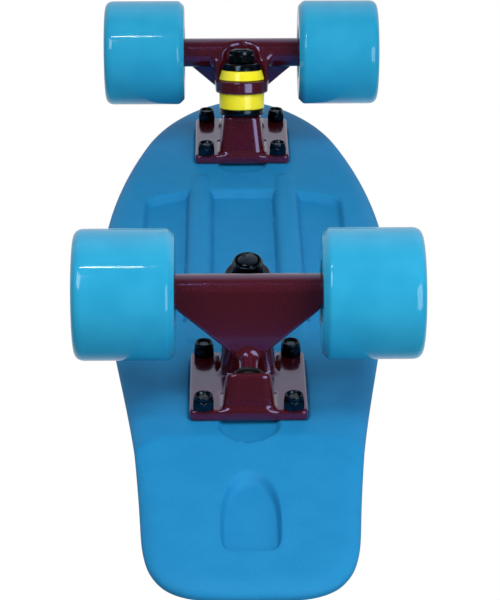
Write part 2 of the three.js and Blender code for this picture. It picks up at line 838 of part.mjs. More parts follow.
// Hex nut whose round collar points down
function nutBody(acrossFlats, bore, top, hexHeight, collarRadius, collarHeight, facets) {
  const hex = rod(acrossFlats / Math.sqrt(3), top - hexHeight, top, 6);
  const collar = rod(collarRadius, top - hexHeight - collarHeight, top - hexHeight / 2, facets);
  const hole = rod(bore, top - hexHeight - collarHeight - cutOverrun, top + cutOverrun, facets);
  return cut(joined([hex, collar].map(solid)), [solid(hole)]);
}

function kingNutGeometry() {
  const nut = nutBody(kingNutAcrossFlats, stackBore, -kingNutTop - fitGap,
    kingNutHeight - kingNutCollarHeight - fitGap, kingNutCollarRadius, kingNutCollarHeight, rodFacets);
  return alongKingpin(geometryOf(nut));
}

// Wheel end: each piece is turned about the axle, with z = 0 at the wheel's middle and +z outboard
const bearingSeat = bearingRadius + fitGap;
const sleeveBore = axleRadius + fitGap;

function atWheel(geometry, side) {
  return geometry.rotateY(side * quarterTurn).translate(side * trackHalf, 0, 0);
}

function wheelGeometry() {
  const radius = wheelDiameter / 2;
  const half = wheelWidth / 2;
  const seatInside = bearingSpacing / 2;
  const seatOutside = seatInside + bearingWidth;
  return revolveRing([
    [wheelCoreBore, -seatInside],
    [bearingSeat, -seatInside],
    [bearingSeat, -seatOutside],
    [wheelRecessRadius, -half],
    [radius - wheelInnerChamfer, -half],
    [radius, wheelInnerChamfer - half],
    ...arc(radius - wheelOuterRound, half - wheelOuterRound, wheelOuterRound, 0, quarterTurn),
    [wheelRecessRadius, half],
    [bearingSeat, seatOutside],
    [bearingSeat, seatInside],
    [wheelCoreBore, seatInside],
  ], wheelFacets);
}

// Outer ring with its shields joined; the outward shield sits a little inside the ring's lip
function bearingGeometry(end) {
  const half = bearingWidth / 2;
  const shieldRadius = innerRingRadius + shieldGap;
  const lipRadius = bearingRadius - bearingLip;
  const ring = revolveRing([
    [shieldRadius, -half],
    [bearingRadius, -half],
    [bearingRadius, half],
    [lipRadius, half],
    [lipRadius, half - bearingShieldInset],
    [shieldRadius, half - bearingShieldInset],
  ], rodFacets);
  const outward = end > 0 ? ring : ring.rotateX(Math.PI);
  return outward.translate(0, 0, end * (bearingSpacing + bearingWidth) / 2);
}

// Inner rings, the spacer between them and the speed washers outside them, clamped as one
function sleeveGeometry() {
  const spacerHalf = bearingSpacing / 2;
  return revolveRing([
    [sleeveBore, -sleeveHalf],
    [innerRingRadius, -sleeveHalf],
    [innerRingRadius, -spacerHalf],
    [spacerRadius, -spacerHalf],
    [spacerRadius, spacerHalf],
    [innerRingRadius, spacerHalf],
    [innerRingRadius, sleeveHalf],
    [sleeveBore, sleeveHalf],
  ], rodFacets);
}

function axleNutGeometry() {
  const bottom = sleeveHalf + fitGap;
  const hex = rod(axleNutAcrossFlats / Math.sqrt(3), bottom, bottom + axleNutHeight, 6);
  const hole = rod(sleeveBore, bottom - cutOverrun, bottom + axleNutHeight + cutOverrun, rodFacets);
  return geometryOf(cut(solid(hex), [solid(hole)]));
}

// Mounting hardware
function boltGeometry() {
  const tip = plateFaceZ - fitGap - lockNutHeight - boltTip;
  const seat = boltSeatZ - axleZ;
  return revolve(boltProfile(0, tip, seat), boltFacets);
}

function lockNutGeometry() {
  return geometryOf(nutBody(lockNutAcrossFlats, boltRadius + fitGap, plateFaceZ - fitGap,
    lockNutHexHeight, lockNutCollarRadius, lockNutHeight - lockNutHexHeight, boltFacets));
}

// Finishes
const finish = (color, roughness, metalness) => (
  new THREE.MeshStandardMaterial({ color, roughness, metalness, flatShading: true })
);
const deckPlastic = finish('#2387c8', 0.6, 0);
const burgundyPaint = finish('#4e141b', 0.25, 0.3);
const urethane = finish('#33a9d8', 0.2, 0);
const bushingUrethane = finish('#ffe833', 0.35, 0);
const blackOxide = finish('#1c2428', 0.3, 0.7);
const blackRubber = finish('#17191b', 0.6, 0);
const brightSteel = finish('#b9bdc1', 0.3, 1);

function piece(parent, name, geometry, material) {
  const mesh = new THREE.Mesh(geometry, material);
  mesh.name = name;
  parent.add(mesh);
}

// A wheel with what it turns on; side is along the truck's own x
function addWheelEnd(truck, name, side) {
  const place = (suffix, geometry, material) => (
    piece(truck, `${name}_${suffix}`, atWheel(geometry, side), material)
  );
  place('wheel', wheelGeometry(), urethane);
  place('inner_bearing', bearingGeometry(-1), brightSteel);
  place('outer_bearing', bearingGeometry(1), brightSteel);
  place('bearing_sleeve', sleeveGeometry(), brightSteel);
  place('axle_nut', axleNutGeometry(), brightSteel);
}

function addMounting(truck, name, place) {
  piece(truck, `${name}_bolt`, boltGeometry().translate(place.x, place.y, 0), blackOxide);
  piece(truck, `${name}_lock_nut`, lockNutGeometry().translate(place.x, place.y, 0), blackOxide);
}

// The front truck is the rear one turned half round, so its left and right change places
function makeTruck(name, axleY, turn) {
  const truck = new THREE.Group();
  truck.position.set(0, axleY, axleZ);
  truck.rotation.z = turn;
  const sideName = (side) => ((side > 0) === (turn === 0) ? 'right' : 'left');
  piece(truck, `${name}_baseplate`, baseplateGeometry(), burgundyPaint);
  piece(truck, `${name}_pivot_cup`, pivotCupGeometry(), blackRubber);
  piece(truck, `${name}_kingpin`, kingpinGeometry(), blackOxide);
  piece(truck, `${name}_kingpin_nut`, kingNutGeometry(), blackOxide);
  piece(truck, `${name}_deck_side_washer`, deckWasherGeometry(), blackOxide);
  piece(truck, `${name}_road_side_washer`, roadWasherGeometry(), blackOxide);
  piece(truck, `${name}_deck_side_bushing`, deckBushingGeometry(), bushingUrethane);
  piece(truck, `${name}_road_side_bushing`, roadBushingGeometry(), bushingUrethane);
  piece(truck, `${name}_hanger`, hangerGeometry(), burgundyPaint);
  piece(truck, `${name}_axle`, alongAxle(rod(axleRadius, -axleHalf, axleHalf, rodFacets)), brightSteel);
  for (const side of [-1, 1]) addWheelEnd(truck, `${name}_${sideName(side)}`, side);
  for (const place of boltPlaces) {
    const end = place.end > 0 ? 'inboard' : 'outboard';
    addMounting(truck, `${name}_${end}_${sideName(place.side)}`, place);
  }
  return truck;
}

const skateboard = new THREE.Group();
piece(skateboard, 'deck', deckGeometry(), deckPlastic);
skateboard.add(makeTruck('front', frontAxleY, Math.PI));
skateboard.add(makeTruck('rear', rearAxleY, 0));

export default skateboard;
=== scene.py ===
# %% [markdown]
# # A small plastic cruiser board, finished over its solid model
# The solid model says where every piece is and how it moves. This script gives each piece the
# form and finish that the eye expects: rounded edges, cast fillets, moulded grain, gloss.
# Everything is worked out from a few sizes in millimetres, in the same frame as the solids:
# +Y is the nose, +Z is up, +X is the rider's right, and the wheels stand on z = 0.

# %% Load the solid model, with each piece's place baked into its mesh
import json
import math
from itertools import product
import bmesh
import bpy
import numpy as np
from mathutils import Matrix


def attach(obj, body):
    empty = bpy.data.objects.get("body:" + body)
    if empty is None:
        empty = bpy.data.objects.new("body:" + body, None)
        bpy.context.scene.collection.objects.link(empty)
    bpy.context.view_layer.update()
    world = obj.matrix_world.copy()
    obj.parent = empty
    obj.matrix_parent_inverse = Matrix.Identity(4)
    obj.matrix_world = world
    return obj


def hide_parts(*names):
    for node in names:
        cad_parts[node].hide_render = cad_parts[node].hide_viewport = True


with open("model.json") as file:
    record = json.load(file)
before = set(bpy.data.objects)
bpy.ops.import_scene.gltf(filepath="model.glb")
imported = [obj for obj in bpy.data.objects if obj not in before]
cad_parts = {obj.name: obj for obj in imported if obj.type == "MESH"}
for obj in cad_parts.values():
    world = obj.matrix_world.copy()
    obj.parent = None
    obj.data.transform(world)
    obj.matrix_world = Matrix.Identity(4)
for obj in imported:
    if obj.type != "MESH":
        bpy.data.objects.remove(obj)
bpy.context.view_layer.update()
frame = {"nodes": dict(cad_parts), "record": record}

# %% [markdown]
# ## Helpers
# A paint maker gives a colour as a hex number, which is coded for screens. Light adds up only
# in linear values, so one function turns every hex number to linear. A second one adds a
# shader node with its settings and links, so that each material reads like a recipe.

# %% Colour and node helpers
MM = 0.001


def linear(hex_colour):
    """The sRGB curve undone: c/12.92 in the dark part, ((c + 0.055)/1.055)^2.4 above it."""
    digits = hex_colour.lstrip("#")
    coded = np.array([int(digits[i:i + 2], 16) for i in (0, 2, 4)]) / 255
    light = np.where(coded <= 0.04045, coded / 12.92, ((coded + 0.055) / 1.055) ** 2.4)
    return (*light.tolist(), 1.0)


def add_node(tree, kind, inputs=None, **settings):
    """Adds one node. Inputs are values, or other nodes' outputs, which are then linked."""
    made = tree.nodes.new(kind)
    for name, value in settings.items():
        setattr(made, name, value)
    for socket, value in (inputs or {}).items():
        if isinstance(value, bpy.types.NodeSocket):
            tree.links.new(value, made.inputs[socket])
        else:
            made.inputs[socket].default_value = value
    return made


def direction(aside, rise):
    """A unit arrow that looks along +y, turned aside to the left and raised, by radians."""
    level = math.cos(rise)
    return np.array([-math.sin(aside) * level, math.cos(aside) * level, math.sin(rise)])


def placed(name, data, axes, place):
    """A new object whose x, y and z axes point along the three given ones, at a place in mm."""
    thing = bpy.data.objects.new(name, data)
    bpy.context.scene.collection.objects.link(thing)
    pose = np.eye(4)
    pose[:3, :3] = np.transpose(axes)
    pose[:3, 3] = np.multiply(place, MM)
    thing.matrix_world = Matrix(pose.tolist())
    return thing


def new_material(name):
    """An empty material and its tree of nodes."""
    material = bpy.data.materials.new(name)
    material.use_nodes = True
    material.node_tree.nodes.clear()
    return material, material.node_tree


def with_surface(material, shader):
    """Gives a material its output node, fed by one shader."""
    surface = {"Surface": shader.outputs[0]}
    add_node(material.node_tree, "ShaderNodeOutputMaterial", surface)
    return material


print("a mid blue in linear values:", [round(c, 3) for c in linear("#2387C8")])

# %% [markdown]
# ## Camera
# The picture shows the board upside down, seen from behind and above its tail. The board here
# stands on its wheels, so the camera lies below the floor line, behind the tail, and is rolled
# half round. Its place and lens come from fitting wheels, plates and deck edge together.

# %% Camera
PICTURE_HEIGHT_PX = 600
FOCAL_LENGTH_PX = 2279.2
SENSOR_LONG_SIDE = 36
CAMERA_PLACE = np.array([11.21, -1087.95, -412.62])
LOOK_UP, LOOK_ASIDE, ROLL = np.radians([25.483, 0.7365, -0.0159])

forward = direction(LOOK_ASIDE, LOOK_UP)
level_right = np.array([-math.cos(LOOK_ASIDE), -math.sin(LOOK_ASIDE), 0])
level_up = np.cross(level_right, forward)
right = level_right * math.cos(ROLL) + level_up * math.sin(ROLL)
up = level_up * math.cos(ROLL) - level_right * math.sin(ROLL)

lens = bpy.data.cameras.new("photo_camera")
lens.lens = FOCAL_LENGTH_PX * SENSOR_LONG_SIDE / PICTURE_HEIGHT_PX
lens.sensor_width = SENSOR_LONG_SIDE
lens.clip_start, lens.clip_end = 0.05, 20
bpy.context.scene.camera = placed("photo_camera", lens, (right, up, -forward), CAMERA_PLACE)
bpy.context.scene.view_settings.view_transform = "Standard"
print("lens:", round(lens.lens, 1), "mm")

# %% [markdown]
# ## Studio
# The gloss in the picture speaks of a white room, two soft boxes near the camera and a slim
# strip light above. The room behind the camera is dim, so the world that shows in the gloss is
# bright ahead of the camera and falls off behind it. Lamps stand on both sides of the floor, so
# that the deck is lit from above as well as from below. The floor is a plain white sheet that
# only shows from above: from below the camera and the lamps see through it.

# %% World, floor and lamps
BOARD_MIDDLE = np.array([0, 0, 60])
AMBIENT_STRENGTH = 0.36
DIM_SIDE, BRIGHT_SIDE = 0.07, 0.75
BRIGHT_FROM = 0.7
FLOOR_HALF = 6.0


def combined(tree, operation, first, second):
    inputs = {0: first, 1: second}
    return add_node(tree, "ShaderNodeMath", inputs, operation=operation).outputs[0]


def mixed(tree, share, first, second):
    """One shader where the share is 0, and another where it is 1."""
    return add_node(tree, "ShaderNodeMixShader", {
        0: share, 1: first.outputs[0], 2: second.outputs[0],
    })


def build_world():
    """White to the camera, an even dim light to matte surfaces, and a falling one to gloss."""
    world = bpy.data.worlds.new("white_studio")
    world.use_nodes = True
    tree = world.node_tree
    tree.nodes.clear()
    rays = add_node(tree, "ShaderNodeLightPath")
    place = add_node(tree, "ShaderNodeTexCoord")
    axes = add_node(tree, "ShaderNodeSeparateXYZ", {0: place.outputs["Generated"]})
    ahead = add_node(tree, "ShaderNodeMapRange", {
        "Value": axes.outputs["Y"], "From Min": 0.0, "From Max": BRIGHT_FROM,
        "To Min": DIM_SIDE, "To Max": BRIGHT_SIDE,
    }, interpolation_type="SMOOTHSTEP")
    white, cool_white = linear("#FFFFFF"), linear("#F0F2FA")
    ambient, mirrored, seen = (
        add_node(tree, "ShaderNodeBackground", {"Color": colour, "Strength": strength})
        for colour, strength in (
            (white, AMBIENT_STRENGTH), (cool_white, ahead.outputs[0]), (white, 1.0),
        )
    )
    gloss, clear = rays.outputs["Is Glossy Ray"], rays.outputs["Is Transmission Ray"]
    lit = mixed(tree, combined(tree, "MAXIMUM", gloss, clear), ambient, mirrored)
    shown = mixed(tree, rays.outputs["Is Camera Ray"], lit, seen)
    add_node(tree, "ShaderNodeOutputWorld", {"Surface": shown.outputs[0]})
    bpy.context.scene.world = world


def build_floor():
    """A white sheet under the wheels that only camera rays from above can see."""
    quarters = [(-1, -1), (1, -1), (1, 1), (-1, 1)]
    corners = [(FLOOR_HALF * x, FLOOR_HALF * y, 0) for x, y in quarters]
    mesh = bpy.data.meshes.new("floor")
    mesh.from_pydata(corners, [], [(0, 1, 2, 3)])
    material, tree = new_material("white_floor_sheet")
    rays = add_node(tree, "ShaderNodeLightPath")
    side = add_node(tree, "ShaderNodeNewGeometry")
    from_above = combined(tree, "SUBTRACT", 1.0, side.outputs["Backfacing"])
    visible = combined(tree, "MULTIPLY", rays.outputs["Is Camera Ray"], from_above)
    sheet = add_node(tree, "ShaderNodeBsdfDiffuse", {"Color": linear("#F7F7F7")})
    air = add_node(tree, "ShaderNodeBsdfTransparent")
    mesh.materials.append(with_surface(material, mixed(tree, visible, air, sheet)))
    placed("floor", mesh, np.eye(3), (0, 0, 0))


def lamp(name, azimuth, elevation, distance, size, watts, seen_in_gloss=True, aim=BOARD_MIDDLE):
    """A soft box placed as the camera's operator sees it, at a distance from what it aims at.

    Azimuth turns from the camera side to the picture's right, and elevation rises towards the
    picture's top, which is the ground side of the board. Both are in degrees.
    """
    outward = -direction(-math.radians(azimuth), math.radians(elevation))
    light = bpy.data.lights.new(name, "AREA")
    light.shape = "RECTANGLE"
    light.size, light.size_y = size[0] * MM, size[1] * MM
    light.energy = watts
    across = np.cross([0, 0, 1], outward)
    across = across / np.linalg.norm(across)
    axes = (across, np.cross(outward, across), outward)
    placed(name, light, axes, np.array(aim) + outward * distance).visible_glossy = seen_in_gloss


build_world()
build_floor()
lamp("key_from_ground_side", 38, 62, 1300, (600, 600), 6, seen_in_gloss=False)
lamp("right_soft_box", 32, 14, 1300, (800, 800), 6.5)
lamp("left_soft_box", -32, 42, 1300, (500, 520), 3.4)
lamp("strip_light", 0, 73, 900, (240, 20), 0.6, aim=(185, -150, 30))
lamp("back_edge_light", 180, 30, 1200, (900, 300), 1.5, seen_in_gloss=False)
lamp("lamp_over_the_deck", 150, -70, 1300, (900, 900), 6.0, seen_in_gloss=False)

# %% [markdown]
# ## Finishes
# Each finish starts from what the real surface is. A material here is a Principled shader
# whose colour and relief come from small noise patterns, with every pattern sized in
# millimetres on the object itself. Noise repeats about once per unit of its scale, so a grain
# of g millimetres needs a scale of 1000 / g in a frame of metres.

# %% Pattern helpers
RAMP_LOW, RAMP_HIGH = 0.35, 0.65
SPREAD_LOW, SPREAD_HIGH = 0.3, 0.7


def principled(material, inputs):
    shader = add_node(material.node_tree, "ShaderNodeBsdfPrincipled", inputs)
    return with_surface(material, shader)


def noise_pattern(tree, grain_mm, detail=2.0, squeeze=None):
    """Noise on the object from 0 to 1, mostly near a half. A squeeze below 1 draws it out."""
    place = add_node(tree, "ShaderNodeTexCoord").outputs["Object"]
    if squeeze:
        mapped = add_node(tree, "ShaderNodeMapping", {"Vector": place, "Scale": squeeze})
        place = mapped.outputs["Vector"]
    return add_node(tree, "ShaderNodeTexNoise", {
        "Vector": place, "Scale": 1 / (grain_mm * MM), "Detail": detail,
    }).outputs["Fac"]


def varied_colour(tree, factor, dark, light):
    """Goes from one colour to another as a pattern's value rises through its middle."""
    ramp = add_node(tree, "ShaderNodeValToRGB", {"Fac": factor})
    stops = zip(ramp.color_ramp.elements, (RAMP_LOW, RAMP_HIGH), (dark, light))
    for stop, position, colour in stops:
        stop.position = position
        stop.color = linear(colour)
    return ramp.outputs["Color"]


def blended(tree, factor, first, second):
    """Mixes two colours; a colour Mix node keeps its colour sockets at numbers 6 and 7."""
    mix = add_node(tree, "ShaderNodeMix", {0: factor, 6: first, 7: second}, data_type="RGBA")
    return mix.outputs[2]


def relief(tree, height, depth_mm, strength):
    return add_node(tree, "ShaderNodeBump", {
        "Height": height, "Distance": depth_mm * MM, "Strength": strength,
    }).outputs["Normal"]


def spread_of(tree, factor, low, high):
    """Spreads the middle of a pattern's values over the range from low to high."""
    return add_node(tree, "ShaderNodeMapRange", {
        "Value": factor, "From Min": SPREAD_LOW, "From Max": SPREAD_HIGH,
        "To Min": low, "To Max": high,
    }).outputs["Result"]


# %% [markdown]
# The deck is injection-moulded polypropylene. The mould is spark-eroded, which leaves a fine
# matte grain about 0.4 mm wide, drawn here at 0.9 mm so that it shows. A very soft mottling
# about 12 mm wide stands for the way that the plastic flowed.

# %% Moulded polypropylene
def moulded_polypropylene():
    material, tree = new_material("moulded_polypropylene")
    grain = noise_pattern(tree, 0.9, detail=3.0)
    flow = noise_pattern(tree, 12, detail=1.0)
    speckle = varied_colour(tree, grain, "#187FB8", "#228AC2")
    mottle = varied_colour(tree, flow, "#1C83BB", "#2189C1")
    return principled(material, {
        "Base Color": blended(tree, 0.5, speckle, mottle),
        "Roughness": spread_of(tree, grain, 0.5, 0.6),
        "IOR": 1.49,
        "Specular IOR Level": 0.15,
        "Normal": relief(tree, grain, 0.05, 0.35),
    })


# %% [markdown]
# The trucks are die-cast aluminium under glossy burgundy enamel. Thick enamel has a high gloss
# and a faint waviness, which a painter calls orange peel, about 4 mm from bump to bump. It
# reflects much more than plain plastic and with a cool sheen, so it gets a high IOR, a bluish
# tint in its reflections, and a clear coat over it.

# %% Burgundy enamel
def burgundy_enamel():
    material, tree = new_material("burgundy_enamel")
    peel = noise_pattern(tree, 4, detail=1.0)
    flakes = noise_pattern(tree, 0.5)
    return principled(material, {
        "Base Color": varied_colour(tree, flakes, "#3F0C10", "#4F1216"),
        "Roughness": spread_of(tree, flakes, 0.14, 0.22),
        "IOR": 1.9,
        "Specular Tint": linear("#8C94F0"),
        "Coat Weight": 0.8,
        "Coat Roughness": 0.05,
        "Coat IOR": 1.5,
        "Normal": relief(tree, peel, 0.12, 0.12),
    })


# %% [markdown]
# The wheels and bushings are cast polyurethane. It is glossy where the mould was polished, and
# light goes a few millimetres into it, so its shadow side stays bright. A cloud 16 mm wide stands
# for the uneven cast, and a trace of dust about 0.3 mm wide is drawn at 0.6 mm.

# %% Cast polyurethane
def cast_polyurethane(name, deep, pale, roughness, glow_mm, glow):
    """Light goes glow_mm into it, and glow is the share of it that does so."""
    material, tree = new_material(name)
    cloud = noise_pattern(tree, 16, detail=1.0)
    dust = noise_pattern(tree, 0.6, detail=1.0)
    return principled(material, {
        "Base Color": varied_colour(tree, cloud, deep, pale),
        "Roughness": spread_of(tree, dust, roughness, roughness + 0.05),
        "IOR": 1.5,
        "Subsurface Weight": glow,
        "Subsurface Radius": (1.0, 1.0, 1.0),
        "Subsurface Scale": glow_mm * MM,
        "Normal": relief(tree, cloud, 0.03, 0.05),
    })


# %% [markdown]
# The kingpins, nuts, bolts and cup washers are steel with a black zinc finish. It is a thin,
# slightly uneven film over metal: dark, bluish and still fairly sharp in its reflections. The
# film's patches are about 2.5 mm wide.

# %% Black zinc, rubber and bright steel
def black_zinc():
    material, tree = new_material("black_zinc")
    film = noise_pattern(tree, 2.5, detail=1.0)
    return principled(material, {
        "Base Color": varied_colour(tree, film, "#242E35", "#34414B"),
        "Metallic": 1.0,
        "Roughness": spread_of(tree, film, 0.16, 0.24),
        "Normal": relief(tree, film, 0.02, 0.08),
    })


def moulded_rubber():
    """The pivot cups: a grain of 0.4 mm drawn at 0.5 mm."""
    material, tree = new_material("cup_rubber")
    grain = noise_pattern(tree, 0.5)
    return principled(material, {
        "Base Color": varied_colour(tree, grain, "#101214", "#191B1D"),
        "Roughness": 0.5,
        "IOR": 1.53,
        "Normal": relief(tree, grain, 0.03, 0.2),
    })


def turned_steel():
    """Bearing rings, shields and axles: ground and turned, so fine marks run round them."""
    material, tree = new_material("turned_steel")
    marks = noise_pattern(tree, 0.3, detail=3.0, squeeze=(1.0, 0.04, 0.04))
    return principled(material, {
        "Base Color": varied_colour(tree, marks, "#A9ADB1", "#C6C9CC"),
        "Metallic": 1.0,
        "Roughness": spread_of(tree, marks, 0.22, 0.34),
        "Normal": relief(tree, marks, 0.02, 0.2),
    })


finishes = {
    "deck_plastic": moulded_polypropylene(),
    "truck_metal": burgundy_enamel(),
    "wheel_urethane": cast_polyurethane(
        "wheel_urethane", "#279FCB", "#2DA5D0", roughness=0.05, glow_mm=3, glow=0.15),
    "bushing_urethane": cast_polyurethane(
        "bushing_urethane", "#FFF020", "#FFF23C", roughness=0.14, glow_mm=2, glow=0.15),
    "black_steel": black_zinc(),
    "cup_rubber": moulded_rubber(),
    "bright_steel": turned_steel(),
}
node_slots = {row["node"]: row["material_slot"] for row in frame["record"]["subparts"]}
for name, solid in frame["nodes"].items():
    for place in solid.material_slots:
        place.material = finishes[node_slots[name]]
print("finishes:", ", ".join(finishes))

# %% [markdown]
# ## From formulas to meshes
# Most of these pieces were turned, cast or moulded. A turned piece is a profile carried round an
# axis, so it is a grid of points: a row for each corner of the profile and a column for each step
# round. One function joins such a grid into faces. Another puts points and faces into a mesh,
# merges what coincides, turns every face outward, gives it its finish, hangs it on its body and
# hides the solid that it stands for.

# %% Mesh helpers
SMOOTH_BELOW = math.radians(38)
MERGE_WITHIN = 0.001
node_bodies = {
    node: body
    for body, nodes in frame["record"]["behaviour"]["bodies"].items()
    for node in nodes
}


def grid_faces(rows, columns, wraps=False):
    """Four-sided faces over a grid: point (i, j) joins (i, j+1), (i+1, j+1) and (i+1, j)."""
    start = np.arange(rows - 1)[:, None] * columns
    column = np.arange(columns if wraps else columns - 1)[None, :]
    beside = (column + 1) % columns
    corners = [start + column, start + beside, start + columns + beside, start + columns + column]
    return np.stack(corners, axis=-1).reshape(-1, 4)


def stand_for(node, points, faces):
    """A closed, smooth-shaded mesh in place of one solid, with its body, slot and finish."""
    mesh = bpy.data.meshes.new(f"fine_{node}")
    mesh.from_pydata((points.reshape(-1, 3) * MM).tolist(), [], faces.tolist())
    shell = bmesh.new()
    shell.from_mesh(mesh)
    bmesh.ops.remove_doubles(shell, verts=shell.verts, dist=MERGE_WITHIN * MM)
    bmesh.ops.recalc_face_normals(shell, faces=shell.faces)
    shell.to_mesh(mesh)
    shell.free()
    mesh.shade_smooth()
    mesh.set_sharp_from_angle(angle=SMOOTH_BELOW)
    mesh.materials.append(finishes[node_slots[node]])
    piece = placed(mesh.name, mesh, np.eye(3), (0, 0, 0))
    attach(piece, node_bodies[node])
    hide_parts(node)


# %% [markdown]
# A lathe tool leaves no perfectly sharp corner, and it is the small round that catches the
# light. So a profile is given as corners, each with the length that is cut away before and
# behind it, and a short curve goes in its place.

# %% Turned pieces
STEPS_ROUND = 96
MOST_OF_A_SIDE_SHARE = 0.48


def eased(corners, steps=6):
    """A closed outline of (across, up, cut) corners with each corner rounded.

    With A and B the points at the cut's distance before and behind corner P, the curve is
    (1 - t)^2 A + 2 t (1 - t) P + t^2 B, for t from 0 to 1.
    """
    corners = np.array(corners, float)
    place, cut_length = corners[:, :2], corners[:, 2:]

    def toward(neighbour):
        run = neighbour - place
        length = np.linalg.norm(run, axis=1, keepdims=True)
        return place + run * np.minimum(cut_length / length, MOST_OF_A_SIDE_SHARE)

    t = np.linspace(0, 1, steps)[:, None, None]
    curve = (1 - t) ** 2 * toward(np.roll(place, 1, 0)) + t ** 2 * toward(np.roll(place, -1, 0))
    curve = curve + 2 * t * (1 - t) * place
    return curve.transpose(1, 0, 2).reshape(-1, 2)


def carried_round(radius, height, angle):
    """Point (i, j) is (r cos a_j, r sin a_j, h_i), where r may differ from point to point."""
    return np.stack([radius * np.cos(angle), radius * np.sin(angle), height + 0 * angle], axis=-1)


def turned(outline, steps=STEPS_ROUND):
    """A closed outline of (radius, height) rows carried round the z axis in even steps."""
    rows = np.vstack([outline, outline[:1]])
    angle = np.linspace(0, 2 * math.pi, steps, endpoint=False)
    points = carried_round(rows[:, :1], rows[:, 1:], angle)
    return points, grid_faces(len(rows), steps, wraps=True)


# %% [markdown]
# ## The truck's frame
# Each truck is worked out once, about the middle of its axle, with +y towards the middle of the
# board and +z towards the deck. The rear truck stands that way in the board, and the front one
# is the same truck turned half round. The kingpin leans, and so does the line from the pivot
# through the ring, about which the hanger steers.

# %% Sizes of the trucks
AXLE_Z = 30
FRONT_AXLE_Y, REAR_AXLE_Y = 177.1, -152.9
TRACK_HALF = 56.2
FIT_GAP = 0.3
PLATE_WIDTH, PLATE_LENGTH, PLATE_THICKNESS = 54.5, 61, 5.3
PLATE_INBOARD = 9.26
TRUCK_HEIGHT = 54.3
PLATE_FACE_Z = TRUCK_HEIGHT - PLATE_THICKNESS
KINGPIN_LEAN = math.radians(13.45)
BOLT_X, BOLT_Y = PLATE_WIDTH / 2 - 6.6, PLATE_LENGTH / 2 - 3.6
KINGPIN_SEAT = np.array([0, PLATE_INBOARD + PLATE_LENGTH / 2 - 12, PLATE_FACE_Z - 20.5])
KINGPIN_UP = np.array([0, math.sin(KINGPIN_LEAN), math.cos(KINGPIN_LEAN)])
PIVOT_CENTRE = np.array([0, PLATE_INBOARD - PLATE_LENGTH / 2 + 8, PLATE_FACE_Z - 12.8])
RING_TOP, RING_BOTTOM, RING_RADIUS = 13.5, 20.6, 15.1
RING_CENTRE = KINGPIN_SEAT - KINGPIN_UP * (RING_TOP + RING_BOTTOM) / 2
TO_RING = RING_CENTRE - PIVOT_CENTRE
STEER_LEAN = math.atan2(TO_RING[1], -TO_RING[2])
STEER_UP = np.array([0, -math.sin(STEER_LEAN), math.cos(STEER_LEAN)])
ENDS = {"front": (-1, FRONT_AXLE_Y), "rear": (1, REAR_AXLE_Y)}
HANDS = {"left": -1, "right": 1}


def leaned(points, angle, place):
    """Points turned about x, then moved: y' = y cos a - z sin a and z' = y sin a + z cos a."""
    x, y, z = np.moveaxis(points, -1, 0)
    cosine, sine = math.cos(angle), math.sin(angle)
    return np.stack([x, y * cosine - z * sine, y * sine + z * cosine], axis=-1) + place


def along_kingpin(points):
    """The z axis laid along the kingpin, with zero at its boss's face."""
    return leaned(points, -KINGPIN_LEAN, KINGPIN_SEAT)


def along_steering(points):
    """The z axis laid along the steering line, with zero at the pivot's centre."""
    return leaned(points, STEER_LEAN, PIVOT_CENTRE)


def along_axle(points, side, middle=0):
    """The z axis laid along x, towards one side, from a point at that distance out."""
    x, y, z = np.moveaxis(points, -1, 0)
    return np.stack([side * (z + middle), y, -side * x], axis=-1)


def at_truck(points, end):
    """From the truck's frame to the board's."""
    turn, axle_y = ENDS[end]
    return points * (turn, turn, 1) + (0, axle_y, AXLE_Z)


def stand_on_trucks(name, points, faces):
    """One piece of each truck, from points in the truck's frame."""
    for end in ENDS:
        stand_for(f"{end}_{name}", at_truck(points, end), faces)


def stand_by_wheels(name, points, faces, middle):
    """One piece at each wheel, turned about the axle, from its middle's distance out."""
    for end, (turn, _) in ENDS.items():
        for hand, world_side in HANDS.items():
            on_axle = along_axle(points, world_side * turn, middle)
            stand_for(f"{end}_{hand}_{name}", at_truck(on_axle, end), faces)


print("steering axis leans", round(math.degrees(STEER_LEAN), 1), "degrees")

# %% [markdown]
# ## What the kingpin clamps
# Two cup washers hold two urethane bushings against the hanger's ring. The bushing on the deck
# side is a short barrel that narrows into its cup, and the one on the road side is a cone. Each
# outline is a list of (radius, height, cut), with the heights measured from the boss's face.

# %% Washers and bushings
STACK_BORE = 5.05
STACK = {
    "deck_side_washer": [
        (STACK_BORE, -1.5, 0.1), (12.1, -1.5, 1.0), (12.1, -4.1, 0.3), (12.9, -4.1, 0.3),
        (12.9, -0.3, 2.4), (STACK_BORE, -0.3, 0.1),
    ],
    "deck_side_bushing": [
        (STACK_BORE, -13.2, 0.2), (13.0, -13.2, 0.6), (12.9, -4.5, 0.4), (11.8, -4.0, 0.3),
        (11.8, -1.8, 0.6), (STACK_BORE, -1.8, 0.2),
    ],
    "road_side_bushing": [
        (STACK_BORE, -28.8, 0.2), (9.3, -28.8, 0.4), (10.3, -26.4, 0.2), (11.5, -26.2, 0.4),
        (13.2, -20.9, 0.6), (STACK_BORE, -20.9, 0.2),
    ],
    "road_side_washer": [
        (STACK_BORE, -30.3, 0.1), (10.4, -30.3, 1.1), (11.4, -26.5, 0.3), (10.6, -26.5, 0.3),
        (9.6, -29.1, 0.6), (STACK_BORE, -29.1, 0.1),
    ],
}
for name, corners in STACK.items():
    points, faces = turned(eased(corners))
    stand_on_trucks(name, along_kingpin(points), faces)
print("washers and bushings:", 2 * len(STACK))

# %% [markdown]
# ## Pins and the axle
# A rolled thread is a fine spiral: the radius rises and falls with the height, once per pitch,
# and the crest moves up by one pitch per turn. The radius r at height h and angle a is the pin's
# radius less the depth times |2 f - 1|, with f the fraction left over from h / pitch - a / (2 pi).

